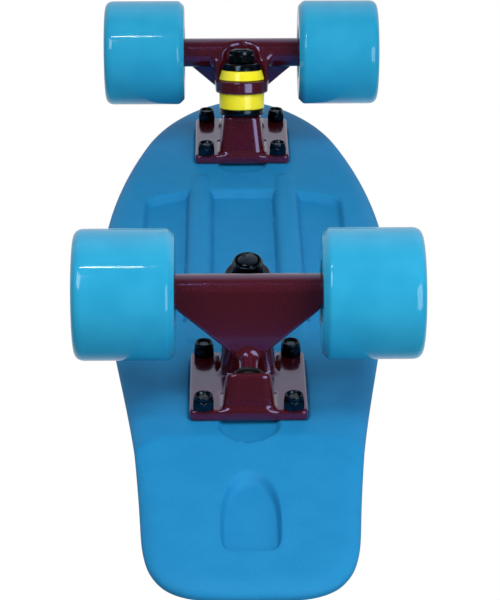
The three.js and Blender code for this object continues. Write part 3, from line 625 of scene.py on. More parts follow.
# %% Threaded pins
THREAD_DEPTH = 0.35
PIN_CHAMFER = 0.7
PIN_STEPS_ROUND, ROWS_PER_PITCH = 48, 6
KINGPIN_RADIUS, KINGPIN_PITCH = 4.75, 1.06
KINGPIN_TIP, KINGPIN_SHANK_TOP, KINGPIN_THREAD_TOP = -38.3, 9.5, -30
KINGPIN_HEAD = [(0, 9.3, 0), (6.3, 9.3, 0.2), (6.3, 14, 0.8), (0, 14, 0)]
AXLE_RADIUS, AXLE_HALF, AXLE_THREAD, AXLE_PITCH = 4, 78.4, 12, 1.0


def threaded(radius, low, high, thread_low, thread_high, pitch):
    """A pin with a spiral between two heights, and a chamfer at both ends."""
    rows = np.arange(thread_low, thread_high, pitch / ROWS_PER_PITCH)
    ends = [low, low, low + PIN_CHAMFER, high - PIN_CHAMFER, high, high]
    height = np.concatenate([ends, [(low + high) / 2], rows])
    height = np.sort(height)
    reach = np.full(len(height), float(radius))
    reach[[0, -1]] = 0
    reach[[1, -2]] = radius - PIN_CHAMFER
    angle = np.linspace(0, 2 * math.pi, PIN_STEPS_ROUND, endpoint=False)
    turn_share = (height[:, None] / pitch - angle / (2 * math.pi)) % 1
    cut = THREAD_DEPTH * np.abs(2 * turn_share - 1)
    in_thread = (height >= thread_low) & (height <= thread_high) & (reach == radius)
    around = reach[:, None] - cut * in_thread[:, None]
    points = carried_round(around, height[:, None], angle)
    return points, grid_faces(len(height), len(angle), wraps=True)


def together(first, second):
    """Two meshes, each of points and faces, as one."""
    points = np.vstack([first[0].reshape(-1, 3), second[0].reshape(-1, 3)])
    return points, np.vstack([first[1], second[1] + first[0].size // 3])


shank = threaded(
    KINGPIN_RADIUS, KINGPIN_TIP, KINGPIN_SHANK_TOP, KINGPIN_TIP + 0.3, KINGPIN_THREAD_TOP,
    KINGPIN_PITCH)
points, faces = together(shank, turned(eased(KINGPIN_HEAD)))
stand_on_trucks("kingpin", along_kingpin(points), faces)
half_axle, half_faces = threaded(
    AXLE_RADIUS, 0, AXLE_HALF, AXLE_HALF - AXLE_THREAD, AXLE_HALF - PIN_CHAMFER, AXLE_PITCH)
halves = [(along_axle(half_axle, side), half_faces) for side in (1, -1)]
stand_on_trucks("axle", *together(*halves))
print("kingpins and axles: 4")

# %% [markdown]
# ## Nuts and bolts
# A hexagon bar is turned on a lathe: the tool cuts its corners to a cone, and the arcs on a
# nut's flats are where the cone meets them. So at each angle the radius is the smaller of the
# turned profile's and the hexagon's, which is half the width across flats over the cosine of
# the angle to the nearest flat. The lock nuts end in a domed collar that holds a nylon ring.

# %% Lock nuts
NUT_TAPER, NUT_TAPER_POWER, NUT_FOOT = 0.9, 1.3, 0.5


def nut(across_flats, bore, hex_height, collar_radius, collar_height):
    """A lock nut that stands on z = 0 and points up, flats to +x and -x."""
    flat = across_flats / 2
    corner = flat / math.cos(math.pi / 6)
    rise = np.linspace(0, 1, 9)
    taper_radius = corner - (corner - flat) * rise ** NUT_TAPER_POWER
    taper = np.stack([taper_radius, hex_height - NUT_TAPER + NUT_TAPER * rise], axis=-1)
    foot = [(bore, 0), (flat, 0), (corner, NUT_FOOT)]
    top = hex_height + collar_height
    dome = eased([
        (collar_radius, hex_height, 0.2), (collar_radius, top, 0.9),
        (collar_radius - 0.9, top, 0.4), (collar_radius - 1.5, top - 1.2, 0.2),
        (bore, top - 1.4, 0.1), (bore, hex_height, 0.1),
    ])
    points, faces = turned(np.vstack([foot, taper, dome]))
    x, y, z = np.moveaxis(points, -1, 0)
    angle = np.arctan2(y, x)
    to_flat = (angle + math.pi / 6) % (math.pi / 3) - math.pi / 6
    radius = np.hypot(x, y)
    share = np.minimum(radius, flat / np.cos(to_flat)) / np.maximum(radius, FIT_GAP)
    return np.stack([x * share, y * share, z], axis=-1), faces


def pointing_down(points):
    return points * (1, -1, -1)


HUB_HALF = 13.5
KING_NUT_SEAT = -30.6
lock_nut, lock_nut_faces = nut(9.3, 2.6, 4.4, 4.3, 2.2)
king_nut, king_nut_faces = nut(14.3, 4.8, 4.6, 6.6, 2.4)
axle_nut, axle_nut_faces = nut(13, 4.05, 4.4, 5.9, 2.0)
seated = pointing_down(king_nut) + (0, 0, KING_NUT_SEAT)
stand_on_trucks("kingpin_nut", along_kingpin(seated), king_nut_faces)
stand_by_wheels("axle_nut", axle_nut, axle_nut_faces, TRACK_HALF + HUB_HALF)
corner_reach = np.hypot(lock_nut[..., 0], lock_nut[..., 1]).max()
print("lock nut corners:", round(float(corner_reach), 2), "mm out")

# %% [markdown]
# ## Wheels and bearings
# A wheel is cast round its core: a flat tread, a rounded outer corner, a sharper chamfer on the
# inner side, and a cone on each face down to the bearing. The bearing shows its outer ring, the
# shield that is crimped into it, and the inner ring that the axle nut clamps.

# %% Wheels
WHEEL_RADIUS, WHEEL_HALF = 30, 23
BEARING_SEAT, SEAT_INSIDE, SEAT_OUTSIDE = 11.3, 5, 12
WHEEL_OUTLINE = [
    (9, -SEAT_INSIDE, 0.1), (BEARING_SEAT, -SEAT_INSIDE, 0.1), (BEARING_SEAT, -SEAT_OUTSIDE, 0.5),
    (15.5, -WHEEL_HALF, 1.0), (27, -WHEEL_HALF, 0.7), (WHEEL_RADIUS, 3 - WHEEL_HALF, 1.3),
    (WHEEL_RADIUS, WHEEL_HALF, 5.2), (15.5, WHEEL_HALF, 1.0),
    (BEARING_SEAT, SEAT_OUTSIDE, 0.5), (BEARING_SEAT, SEAT_INSIDE, 0.1), (9, SEAT_INSIDE, 0.1),
]
BEARING_OUTLINE = [
    (6.9, -3.4, 0.1), (9.2, -3.4, 0.1), (9.4, -3.5, 0.1), (11, -3.5, 0.5), (11, 3.5, 0.5),
    (9.4, 3.5, 0.2), (9.3, 2.7, 0.1), (9.0, 2.7, 0.1), (8.7, 3.1, 0.2), (7.4, 3.1, 0.2),
    (6.9, 2.8, 0.1),
]
HALF_SLEEVE_OUTLINE = [
    (4.3, -13.2, 0.1), (6.2, -13.2, 0.2), (6.2, -12.1, 0.2), (5.8, -12.0, 0.1), (6.2, -11.9, 0.2),
    (6.2, -5, 0.2), (5.4, -5, 0.1),
]
OTHER_HALF = [(radius, -height, cut) for radius, height, cut in reversed(HALF_SLEEVE_OUTLINE)]
BEARING_MIDDLE = 8.5
wheel, wheel_faces = turned(eased(WHEEL_OUTLINE, steps=10), steps=160)
bearing, bearing_faces = turned(eased(BEARING_OUTLINE, steps=4))
sleeve, sleeve_faces = turned(eased(HALF_SLEEVE_OUTLINE + OTHER_HALF, steps=4))
outward = bearing + (0, 0, BEARING_MIDDLE)
inward = bearing * (1, 1, -1) - (0, 0, BEARING_MIDDLE)
for name, points, faces in (
    ("wheel", wheel, wheel_faces),
    ("outer_bearing", outward, bearing_faces),
    ("inner_bearing", inward, bearing_faces),
    ("bearing_sleeve", sleeve, sleeve_faces),
):
    stand_by_wheels(name, points, faces, TRACK_HALF)
print("wheels: 4 of", len(wheel_faces), "faces")

# %% [markdown]
# ## Pivot cups
# Each hanger's stem ends in a ball that sits in a moulded cup. Only the cup's rim shows.

# %% Pivot cups
CUP_INNER, CUP_OUTER, CUP_FLANGE = 4.6, 5.3, 7.0
CUP_RIM_TOP, CUP_RIM_BOTTOM, CUP_CHAMFER = -0.7, -2.1, 0.3
quarter_turn = np.linspace(0, math.pi / 2, 12)
inside = CUP_INNER * np.stack([np.sin(quarter_turn), np.cos(quarter_turn)], axis=-1)
outside = CUP_OUTER * np.stack([np.cos(quarter_turn), np.sin(quarter_turn)], axis=-1)
rim = np.array([
    (CUP_INNER, CUP_RIM_BOTTOM + CUP_CHAMFER), (CUP_INNER + CUP_CHAMFER, CUP_RIM_BOTTOM),
    (CUP_FLANGE - CUP_CHAMFER, CUP_RIM_BOTTOM), (CUP_FLANGE, CUP_RIM_BOTTOM + CUP_CHAMFER),
    (CUP_FLANGE, CUP_RIM_TOP), (CUP_OUTER, CUP_RIM_TOP),
])
cup_points, cup_faces = turned(np.vstack([inside, rim, outside]))
stand_on_trucks("pivot_cup", along_steering(cup_points), cup_faces)
print("pivot cups: 2")

# %% [markdown]
# ## Cast trucks
# A casting has no sharp inner corners: where two forms meet, the metal flows in a fillet. Such a
# body is easiest to say as a distance: how far a point is outside it, and less than nothing
# inside. Two bodies join by taking the smaller distance, and a smooth smaller value leaves a
# fillet. The surface is then where the distance is nothing.

# %% Distances
def smaller(first, second, fillet):
    """The lesser of two distances, less h^2 fillet / 4, with h = 1 - |first - second| / fillet."""
    near = np.maximum(0, 1 - np.abs(first - second) / fillet)
    return np.minimum(first, second) - near ** 2 * fillet / 4


def larger(first, second, edge):
    """The greater of two distances, with the edge where they meet rounded."""
    return -smaller(-first, -second, edge)


def meeting(distances, edge):
    """Where all of several bodies overlap, with its edges rounded."""
    whole = distances[0]
    for distance in distances[1:]:
        whole = larger(whole, distance, edge)
    return whole


def through(across, up, first, second):
    """Distance outside the straight line from one point to another, outside being on its left."""
    run = np.subtract(second, first)
    run = run / np.linalg.norm(run)
    return run[0] * (up - first[1]) - run[1] * (across - first[0])


def beside_line(y, z, origin, up):
    """Distance along and off a leaning line in the middle plane, measured from its origin."""
    off_y, off_z = y - origin[1], z - origin[2]
    along = off_y * up[1] + off_z * up[2]
    return along, off_y * up[2] - off_z * up[1]


# %% [markdown]
# To mesh it, the space is cut into small cubes. Every cube that the surface passes through gets
# one point, the mean of where the surface cuts the cube's edges, and every edge that it cuts
# gives one face between the four cubes round that edge. A last step moves each point along the
# slope of the distance until it lies on the surface.

# %% Skin of a distance
CUBE = 0.55
WHOLE = (slice(None),)
ENDS_LEFT_OFF = (slice(0, -1), slice(1, None))


def skin(distance, low, high):
    """Points and faces of the surface where a distance is nothing, within a box."""
    axes = [np.arange(a, b + CUBE, CUBE) for a, b in zip(low, high)]
    grid = np.stack(np.meshgrid(*axes, indexing="ij"), axis=-1)
    value = distance(grid[..., 0], grid[..., 1], grid[..., 2])
    size = np.array(value.shape)
    total = np.zeros((*(size - 1), 3))
    count = np.zeros(size - 1)
    crossings = []
    for axis in range(3):
        near, far = product(*[ENDS_LEFT_OFF if a == axis else WHOLE for a in range(3)])
        first, second = value[near], value[far]
        cut = (first < 0) != (second < 0)
        share = np.where(cut, first / np.where(cut, first - second, 1), 0)
        point = grid[near] + share[..., None] * np.eye(3)[axis] * CUBE
        crossings.append(cut)
        for part in product(*[WHOLE if a == axis else ENDS_LEFT_OFF for a in range(3)]):
            total += np.where(cut[part][..., None], point[part], 0)
            count += cut[part]
    crossed = count > 0
    points = total[crossed] / count[crossed][:, None]
    number = np.full(size - 1, -1)
    number[crossed] = np.arange(len(points))
    faces = []
    for axis, cut in enumerate(crossings):
        others = [other for other in range(3) if other != axis]
        place = np.argwhere(cut)
        inner = np.all([(place[:, o] > 0) & (place[:, o] < size[o] - 1) for o in others], axis=0)
        place = place[inner]
        back_a, back_b = np.eye(3, dtype=int)[others]
        around = [place, place - back_a, place - back_a - back_b, place - back_b]
        faces.append(np.stack([number[tuple(cube.T)] for cube in around], axis=-1))
    return settled(distance, points), np.vstack(faces)


def settled(distance, points, reach=0.02):
    """Moves points three times by -d g / |g|^2, with the slope g measured across a small reach."""
    for _ in range(3):
        value = distance(*points.T)
        slope = np.stack([
            (distance(*(points + offset).T) - distance(*(points - offset).T)) / (2 * reach)
            for offset in np.eye(3) * reach
        ], axis=-1)
        move = value[:, None] * slope / np.maximum((slope ** 2).sum(axis=1, keepdims=True), 0.2)
        points = points - np.clip(move, -CUBE / 2, CUBE / 2)
    return points


# %% [markdown]
# The baseplate is a flat slab with two bosses. The kingpin's boss is cut off square to the
# leaning kingpin, and the pivot's boss has a sloping face with a round hole for the cup. The
# bosses' sides slope, so their half widths and insets are given twice: inside the slab, and at
# the boss's end.

# %% Baseplates
PLATE_CORNER, PLATE_EDGE, BOSS_FILLET = 3.0, 1.6, 2.6
INSIDE_SLAB_Z, BOSS_ROOT_Z = 50, 52
KING_BOSS_END_Z, KING_BOSS_CORNER, KING_BOSS_EDGE = 28.5, 6.0, 1.8
KING_BOSS_HALF_WIDTHS = (13.45, 11)
KING_BOSS_INBOARD_INSETS = np.array([0.4, 4.6])
KING_BOSS_OUTBOARD_FLARE = np.array([1.5, 0])
KING_BOSS_REACH = 12.3
PIVOT_BOSS_END_Z, PIVOT_BOSS_CORNER, PIVOT_BOSS_EDGE = 30.6, 5.0, 2.2
PIVOT_BOSS_HALF_WIDTHS = (12.15, 10.3)
PIVOT_BOSS_OUTBOARD_INSETS = np.array([0.1, 2.3])
PIVOT_BOSS_CREST_Z, PIVOT_FACE_PROUD = 31.3, 0.4
KINGPIN_HOLE_RADIUS, KINGPIN_HOLE_DEPTH = STACK_BORE, 12
CUP_SOCKET_RADIUS, BOLT_HOLE_RADIUS, HOLE_EDGE = 5.4, 2.8, 0.3


def sloping_side(across, z, places, end_z):
    """Distance outside a side that goes from one place in the slab to another at a boss's end."""
    return through(across, z, (places[0], INSIDE_SLAB_Z), (places[1], end_z))


def kingpin_boss_distance(across, y, z, boss_up):
    inboard = PLATE_INBOARD + PLATE_LENGTH / 2 - KING_BOSS_INBOARD_INSETS
    outboard = KINGPIN_SEAT[1] - KING_BOSS_REACH - KING_BOSS_OUTBOARD_FLARE
    sides = meeting([
        sloping_side(across, z, KING_BOSS_HALF_WIDTHS, KING_BOSS_END_Z),
        sloping_side(y, z, inboard, KING_BOSS_END_Z),
        -sloping_side(y, z, outboard, KING_BOSS_END_Z),
    ], KING_BOSS_CORNER)
    return meeting([sides, -boss_up, z - BOSS_ROOT_Z], KING_BOSS_EDGE)


def pivot_boss_distance(across, y, z):
    """The face beside the cup is square to the steering line, which leans by STEER_LEAN."""
    outboard = PLATE_INBOARD - PLATE_LENGTH / 2 + PIVOT_BOSS_OUTBOARD_INSETS
    heights = np.array([INSIDE_SLAB_Z, PIVOT_BOSS_END_Z])
    foot = PIVOT_CENTRE[1] + PIVOT_FACE_PROUD / math.sin(STEER_LEAN)
    face = foot + (heights - PIVOT_CENTRE[2]) * (1 / math.tan(STEER_LEAN))
    sides = meeting([
        sloping_side(across, z, PIVOT_BOSS_HALF_WIDTHS, PIVOT_BOSS_END_Z),
        -sloping_side(y, z, outboard, PIVOT_BOSS_END_Z),
    ], PIVOT_BOSS_CORNER)
    face_side = sloping_side(y, z, face, PIVOT_BOSS_END_Z)
    crest = PIVOT_BOSS_CREST_Z - z
    return meeting([sides, face_side, crest, z - BOSS_ROOT_Z], PIVOT_BOSS_EDGE)


def baseplate_distance(x, y, z):
    """The slab and its bosses, less the kingpin's hole, the cup's socket and the bolts' holes."""
    across, along = np.abs(x), np.abs(y - PLATE_INBOARD)
    outline = larger(across - PLATE_WIDTH / 2, along - PLATE_LENGTH / 2, PLATE_CORNER)
    slab = meeting([outline, PLATE_FACE_Z - z, z - TRUCK_HEIGHT], PLATE_EDGE)
    boss_up, off_kingpin = beside_line(y, z, KINGPIN_SEAT, KINGPIN_UP)
    body = smaller(slab, kingpin_boss_distance(across, y, z, boss_up), BOSS_FILLET)
    body = smaller(body, pivot_boss_distance(across, y, z), BOSS_FILLET)

    round_kingpin = np.hypot(x, off_kingpin) - KINGPIN_HOLE_RADIUS
    kingpin_hole = -larger(round_kingpin, boss_up - KINGPIN_HOLE_DEPTH, HOLE_EDGE)
    up_stem, off_stem = beside_line(y, z, PIVOT_CENTRE, STEER_UP)
    ball = CUP_SOCKET_RADIUS - np.sqrt(x ** 2 + off_stem ** 2 + np.maximum(up_stem, 0) ** 2)
    bolt_holes = BOLT_HOLE_RADIUS - np.hypot(across - BOLT_X, along - BOLT_Y)
    body = larger(larger(body, kingpin_hole, HOLE_EDGE), ball, 0.6)
    return larger(body, bolt_holes, HOLE_EDGE)


plate_points, plate_faces = skin(baseplate_distance, (-29, -23, 24), (29, 42, 56))
stand_on_trucks("baseplate", plate_points, plate_faces)
print("baseplate:", len(plate_faces), "faces")

# %% [markdown]
# The hanger is one casting too: a bar along the axle that is flat on its outboard side, a flat
# triangular web flush with it, a flat arm to the ring, and a tapering stem that ends in a ball.
# A gusset joins the web, the arm and the stem.

# %% The hanger's bar and web
BAR_HALF = TRACK_HALF - HUB_HALF
BAR_RADIUS, BAR_INBOARD, BAR_LOWER = 8.2, 1.5, 0.6
BAR_END_RADIUS, BAR_END_LENGTH, BAR_SHIFT_LENGTH = 6.6, 3, 6
WEB_FACE, WEB_EDGE, WEB_THICKNESS = 6.05, 3.75, 6.3
WEB_FOOT, WEB_TOP = (32.8, 5.3), (4.9, 29.9)


def bar_distance(across, off_axle, y, z):
    """A round bar whose middle part lies a little off the axle and is cut flat outboard."""
    shift = np.clip((BAR_HALF - across) / BAR_SHIFT_LENGTH, 0, 1)
    off_bar = np.hypot(y - BAR_INBOARD * shift, z + BAR_LOWER * shift)
    end_cone = through(
        off_axle, across, (BAR_RADIUS, BAR_HALF - BAR_END_LENGTH), (BAR_END_RADIUS, BAR_HALF))
    flat_bar = larger(off_bar - BAR_RADIUS, -y - WEB_FACE, 0.3)
    return meeting([flat_bar, -end_cone, across - BAR_HALF], 1.0)


def web_distance(across, y, z):
    outline = meeting([
        across - WEB_FOOT[0],
        -through(across, z, WEB_FOOT, WEB_TOP),
        z - WEB_TOP[1],
        -WEB_EDGE - z,
    ], 1.4)
    return meeting([outline, -y - WEB_FACE, y + WEB_FACE - WEB_THICKNESS], 1.1)


# %% The hanger's arm, stem and ring
ARM_HALF_WIDTH, ARM_HALF_THICKNESS, ARM_THINNING, ARM_BOW = 16.4, 7, 3.6, 1.6
STEM_LENGTH = np.linalg.norm(TO_RING) - RING_RADIUS
STEM_RADIUS, STEM_SPREAD = 4.3, 1.9
STEM_ROOT = PIVOT_CENTRE + TO_RING / np.linalg.norm(TO_RING) * STEM_LENGTH
GUSSET_HALF, GUSSET_Y, GUSSET_TOP_Z = 4.3, -1.4, 28
DECK_SIDE_POCKET, ROAD_SIDE_POCKET = 15.2, 14.2
RING_BORE, AXLE_BORE = 8, 4.3
ARM_FILLET, STEM_FILLET, RING_FILLET = 3.0, 2.5, 1.6


def arm_distance(across, y, z):
    """Thins from bar to ring, and bows by 4 t (1 - t) of ARM_BOW, with t from 0 to 1 along it."""
    length = np.linalg.norm(RING_CENTRE)
    along = (y * RING_CENTRE[1] + z * RING_CENTRE[2]) / length
    off = (z * RING_CENTRE[1] - y * RING_CENTRE[2]) / length
    t = np.clip(along / length, 0, 1)
    half_width = ARM_HALF_WIDTH + (RING_RADIUS - FIT_GAP - ARM_HALF_WIDTH) * t
    bow = ARM_BOW * (4 * t * (1 - t))
    return meeting([
        across - half_width,
        np.abs(off - bow) - (ARM_HALF_THICKNESS - ARM_THINNING * t),
        -along,
        along - length,
    ], 2.4)


def stem_distance(x, y, z):
    """A round stem with a ball end, which spreads over its second half."""
    up_stem, off_line = beside_line(y, z, PIVOT_CENTRE, STEER_UP)
    share = np.clip(-up_stem / STEM_LENGTH, 0, 1)
    radius = STEM_RADIUS + STEM_SPREAD * np.clip(2 * share - 1, 0, 1)
    return np.hypot(np.hypot(x, off_line), -up_stem - share * STEM_LENGTH) - radius


def gusset_distance(across, y, z):
    foot, top = (GUSSET_Y, 0), (GUSSET_Y, GUSSET_TOP_Z)
    return meeting([
        across - GUSSET_HALF,
        GUSSET_Y - y,
        -through(y, z, foot, RING_CENTRE[1:]),
        -through(y, z, RING_CENTRE[1:], STEM_ROOT[1:]),
        -through(y, z, STEM_ROOT[1:], top),
    ], 1.6)


def hanger_distance(x, y, z):
    """All of it joined with fillets, less room for the bushings, and then the bored ring."""
    across, off_axle = np.abs(x), np.hypot(y, z)
    flush = np.minimum(bar_distance(across, off_axle, y, z), web_distance(across, y, z))
    body = smaller(flush, arm_distance(across, y, z), ARM_FILLET)
    body = smaller(body, stem_distance(x, y, z), STEM_FILLET)
    body = smaller(body, gusset_distance(across, y, z), STEM_FILLET)

    up_kingpin, off_kingpin = beside_line(y, z, KINGPIN_SEAT, KINGPIN_UP)
    from_kingpin = np.hypot(x, off_kingpin)
    over_ring, under_ring = up_kingpin + RING_TOP, -RING_BOTTOM - up_kingpin
    pocket = np.where(over_ring > 0, DECK_SIDE_POCKET, ROAD_SIDE_POCKET) - from_kingpin
    body = larger(body, np.minimum(pocket, np.maximum(over_ring, under_ring)), 1.2)
    ring = meeting([from_kingpin - RING_RADIUS, over_ring, under_ring], 1.1)
    body = smaller(body, ring, RING_FILLET)
    return larger(larger(body, RING_BORE - from_kingpin, 0.8), AXLE_BORE - off_axle, 0.5)


hanger_points, hanger_faces = skin(hanger_distance, (-44, -19, -11), (44, 41, 42))
stand_on_trucks("hanger", hanger_points, hanger_faces)
print("hanger:", len(hanger_faces), "faces")

# %% [markdown]
# ## The deck
# The deck is one moulding with rounded edges, a raised nose and tail, and a patterned underside.
# Each row across it is a closed loop: along the underside, round one edge, back over the top,
# and round the other edge. The rows follow the outline from the nose tip to the tail tip. The
# ribs, panels, dishes and the tail's recess are then heights that are added to the underside.

# %% Outline and bends of the deck
UNDERSIDE_Z, DECK_THICKNESS, TOP_DIP = 83.6, 9.9, 1.5
NOSE_TIP_Y, TAIL_TIP_Y = 279.5, -279.5
DECK_HALF, TAIL_HALF = 74.9, 46.6
WIDEST_Y, TAIL_END_LENGTH = 29.5, 45
NOSE_SIDE_POWER, NOSE_TIP_POWER, TAIL_CORNER_POWER = 1.7, 1.64, 3.6
NOSE_RISE, NOSE_RISE_LENGTH, NOSE_RISE_POWER = 13, 103, 1.5
TAIL_RISE, TAIL_KICK_LENGTH = 23.4, 96.6
SOFT_BLEND, KICK_BLEND = 10, 4
PAD_HALF, PAD_CORNER, PAD_FADE = 54, 24, 50
UNDERSIDE_ROUND, TOP_ROUND, RIM_HEIGHT = 9, 8, 4.2
FLAT_TOP_SHARE = 0.25
CREASE_Y = TAIL_TIP_Y + TAIL_KICK_LENGTH - (SOFT_BLEND - KICK_BLEND) / 2
KICK_SLOPE = TAIL_RISE / (TAIL_KICK_LENGTH - SOFT_BLEND / 2)


def smooth(value, low, high):
    """0 below low, 1 above high, and t^2 (3 - 2 t) between them."""
    t = np.clip((value - low) / (high - low), 0, 1)
    return t * t * (3 - 2 * t)


def deck_half_width(y):
    """Nose: half (1 - s^p)^(1/q), s from the widest row. Tail: a taper, then (1 - e^p)^(1/p)."""
    s = np.clip((y - WIDEST_Y) / (NOSE_TIP_Y - WIDEST_Y), 0, 1)
    nose = DECK_HALF * (1 - s ** NOSE_SIDE_POWER) ** (1 / NOSE_TIP_POWER)
    taper = smooth(WIDEST_Y - y, 0, WIDEST_Y - TAIL_TIP_Y)
    side = DECK_HALF + (TAIL_HALF - DECK_HALF) * taper
    e = np.clip((TAIL_TIP_Y + TAIL_END_LENGTH - y) / TAIL_END_LENGTH, 0, 1)
    tail = side * (1 - e ** TAIL_CORNER_POWER) ** (1 / TAIL_CORNER_POWER)
    return np.where(y > WIDEST_Y, nose, tail)


def deck_rise(x, y):
    """Nose: rise (run / length)^power. Tail: a slope with a short round crease at its foot.

    The crease bends towards the tail beyond a flat pad, by a quarter circle of PAD_CORNER.
    """
    nose_run = np.maximum(0, y - (NOSE_TIP_Y - NOSE_RISE_LENGTH)) / NOSE_RISE_LENGTH
    reach = np.clip(np.abs(x) - (PAD_HALF - PAD_CORNER), 0, PAD_CORNER)
    corner = PAD_CORNER - np.sqrt(PAD_CORNER ** 2 - reach ** 2)
    run = np.maximum(0, CREASE_Y - y - corner * (1 - smooth(CREASE_Y - y, 0, PAD_FADE)))
    kick = np.where(run < KICK_BLEND, run ** 2 / (2 * KICK_BLEND), run - KICK_BLEND / 2)
    return NOSE_RISE * nose_run ** NOSE_RISE_POWER + KICK_SLOPE * kick


# %% [markdown]
# The underside's pattern is built like the castings, from distances, but in plan. A distance to
# a panel's outline becomes a depth by a soft step as wide as the panel's wall.

# %% Pattern of the underside
WHEELBASE_MIDDLE = (FRONT_AXLE_Y + REAR_AXLE_Y) / 2
HALF_BASE = (FRONT_AXLE_Y - REAR_AXLE_Y) / 2
PANEL_HALF_LENGTH = HALF_BASE - 82.3
PANEL_OUTER_HALF_LENGTH = PANEL_HALF_LENGTH - 11.2
PANEL_DEPTH, PANEL_WALL, PANEL_CORNER = 4.6, 3.5, 5.0
PANEL_SHOULDER_X, PANEL_OUTER_X = 28, 52.1
RIB_X, RIB_HALF_WIDTH, RIB_HALF_LENGTH, RIB_PROUD = 24, 7.2, HALF_BASE - 58.2, 1.2
RIB_CREST_HALF_LENGTH = RIB_HALF_LENGTH - RIB_HALF_WIDTH + 2.8
RIB_POWER, RIB_ROUND_POWER = 4, 0.6
DISH_HALF_WIDTH, DISH_OUTBOARD, DISH_INBOARD = 15, 49, 45
DISH_DEPTH, DISH_WALL = 2.4, 3.0
SEAT_DEPTH, SEAT_ROOM = 0.65, 0.4
RECESS_HALF_WIDTH, RECESS_LENGTH, RECESS_FROM_TIP = 13.6, 48, 21.5
RECESS_DEPTH, RECESS_WALL, RECESS_WIDEST = 4.0, 2.3, 18
ARCH_POWER, BOX_POWER = 2.2, 5


def panel_depth(x, y):
    """Full depth within a flat octagon, falling off over the wall's width beyond it."""
    across, along = np.abs(x), np.abs(y - WHEELBASE_MIDDLE)
    shoulder = (PANEL_SHOULDER_X, PANEL_HALF_LENGTH)
    outer = (PANEL_OUTER_X, PANEL_OUTER_HALF_LENGTH)
    outside = meeting([
        across - PANEL_OUTER_X,
        along - PANEL_HALF_LENGTH,
        -through(across, along, outer, shoulder),
    ], PANEL_CORNER)
    return PANEL_DEPTH * smooth(-outside, -PANEL_WALL, 0.6)


def rib_height(x, y):
    """A round back over the panels' floor: 1 - u^4 to the power 0.6, u from crest to foot."""
    past_end = np.maximum(0, np.abs(y - WHEELBASE_MIDDLE) - RIB_CREST_HALF_LENGTH)
    u = np.clip(np.hypot(np.abs(x) - RIB_X, past_end) / RIB_HALF_WIDTH, 0, 1)
    return (PANEL_DEPTH + RIB_PROUD) * (1 - u ** RIB_POWER) ** RIB_ROUND_POWER


def dish_depth(x, y):
    """A channel with round ends under each truck, joined to the shallow seat of its plate."""
    depth = 0
    for turn, axle_y in ENDS.values():
        along = turn * (y - axle_y) - PLATE_INBOARD
        past_inboard = np.maximum(0, along - DISH_INBOARD + DISH_HALF_WIDTH)
        past_outboard = np.maximum(0, -along - DISH_OUTBOARD + DISH_HALF_WIDTH)
        inside = DISH_HALF_WIDTH - np.hypot(x, past_inboard + past_outboard)
        dish = DISH_DEPTH * smooth(inside, 0, DISH_WALL)
        off_seat = larger(np.abs(x) - PLATE_WIDTH / 2, np.abs(along) - PLATE_LENGTH / 2, 3.0)
        seat = SEAT_DEPTH * smooth(SEAT_ROOM - off_seat, -0.5, 0.5)
        depth = depth + np.maximum(dish, seat)
    return depth


def recess_depth(x, y):
    """An arch: half an oval above its widest row, and a box with round corners below it.

    Both are (a^n + b^n)^(1/n) - 1, with a and b from 0 in the middle to 1 at the edge.
    """
    widest = TAIL_TIP_Y + RECESS_FROM_TIP + RECESS_WIDEST
    above, below = np.maximum(0, y - widest), np.maximum(0, widest - y)
    across = np.abs(x) / RECESS_HALF_WIDTH
    power = np.where(y > widest, ARCH_POWER, BOX_POWER)
    up_or_down = above / (RECESS_LENGTH - RECESS_WIDEST) + below / RECESS_WIDEST
    outside = ((across ** power + up_or_down ** power) ** (1 / power) - 1) * RECESS_HALF_WIDTH
    return RECESS_DEPTH * smooth(-outside, 0, RECESS_WALL)


def underside_relief(x, y):
    """How far the surface lies into the deck: panels, less the ribs in them, dishes and recess."""
    ribbed = PANEL_DEPTH - rib_height(x, y)
    in_panel = smaller(panel_depth(x, y), ribbed, 1.0)
    return in_panel + dish_depth(x, y) + recess_depth(x, y)


# %% [markdown]
# The rows are evenly spaced, and closer together at the two tips, where the outline turns fast.
# The top dips by 1.5 mm between its edges, so that feet sit in it, and runs out flat at the nose
# and the tail.

# %% Deck shell
UNDER_COLUMNS, OVER_COLUMNS, WRAP_STEPS = 150, 30, 6
ROW_STEP, NOSE_ROWS_LENGTH, TAIL_ROWS_LENGTH, END_STEPS = 1.3, 12, 8, 70


def deck_rows():
    """The rows' places from nose to tail, by even turns of the outline near the tips."""
    turn = np.linspace(0, math.pi / 2, END_STEPS)
    nose_share = (1 - np.sin(turn) ** NOSE_TIP_POWER) ** (1 / NOSE_SIDE_POWER)
    nose = WIDEST_Y + (NOSE_TIP_Y - WIDEST_Y) * nose_share
    even = np.arange(NOSE_TIP_Y - NOSE_ROWS_LENGTH, TAIL_TIP_Y + TAIL_ROWS_LENGTH, -ROW_STEP)
    tail = TAIL_TIP_Y + TAIL_END_LENGTH * (1 - np.sin(turn) ** (2 / TAIL_CORNER_POWER))
    return np.concatenate([nose[nose > even[0]], even, tail[tail < even[-1]]])


def outline_normals(outline):
    """Outward in plan, square to the mean of the steps before and after each row."""
    step = np.diff(outline, axis=0)
    step /= np.linalg.norm(step, axis=1, keepdims=True)
    along = step[:-1] + step[1:]
    along /= np.linalg.norm(along, axis=1, keepdims=True)
    outward = np.stack([-along[:, 1], along[:, 0]], axis=-1)
    return np.vstack([[0, 1], outward, [0, -1]])


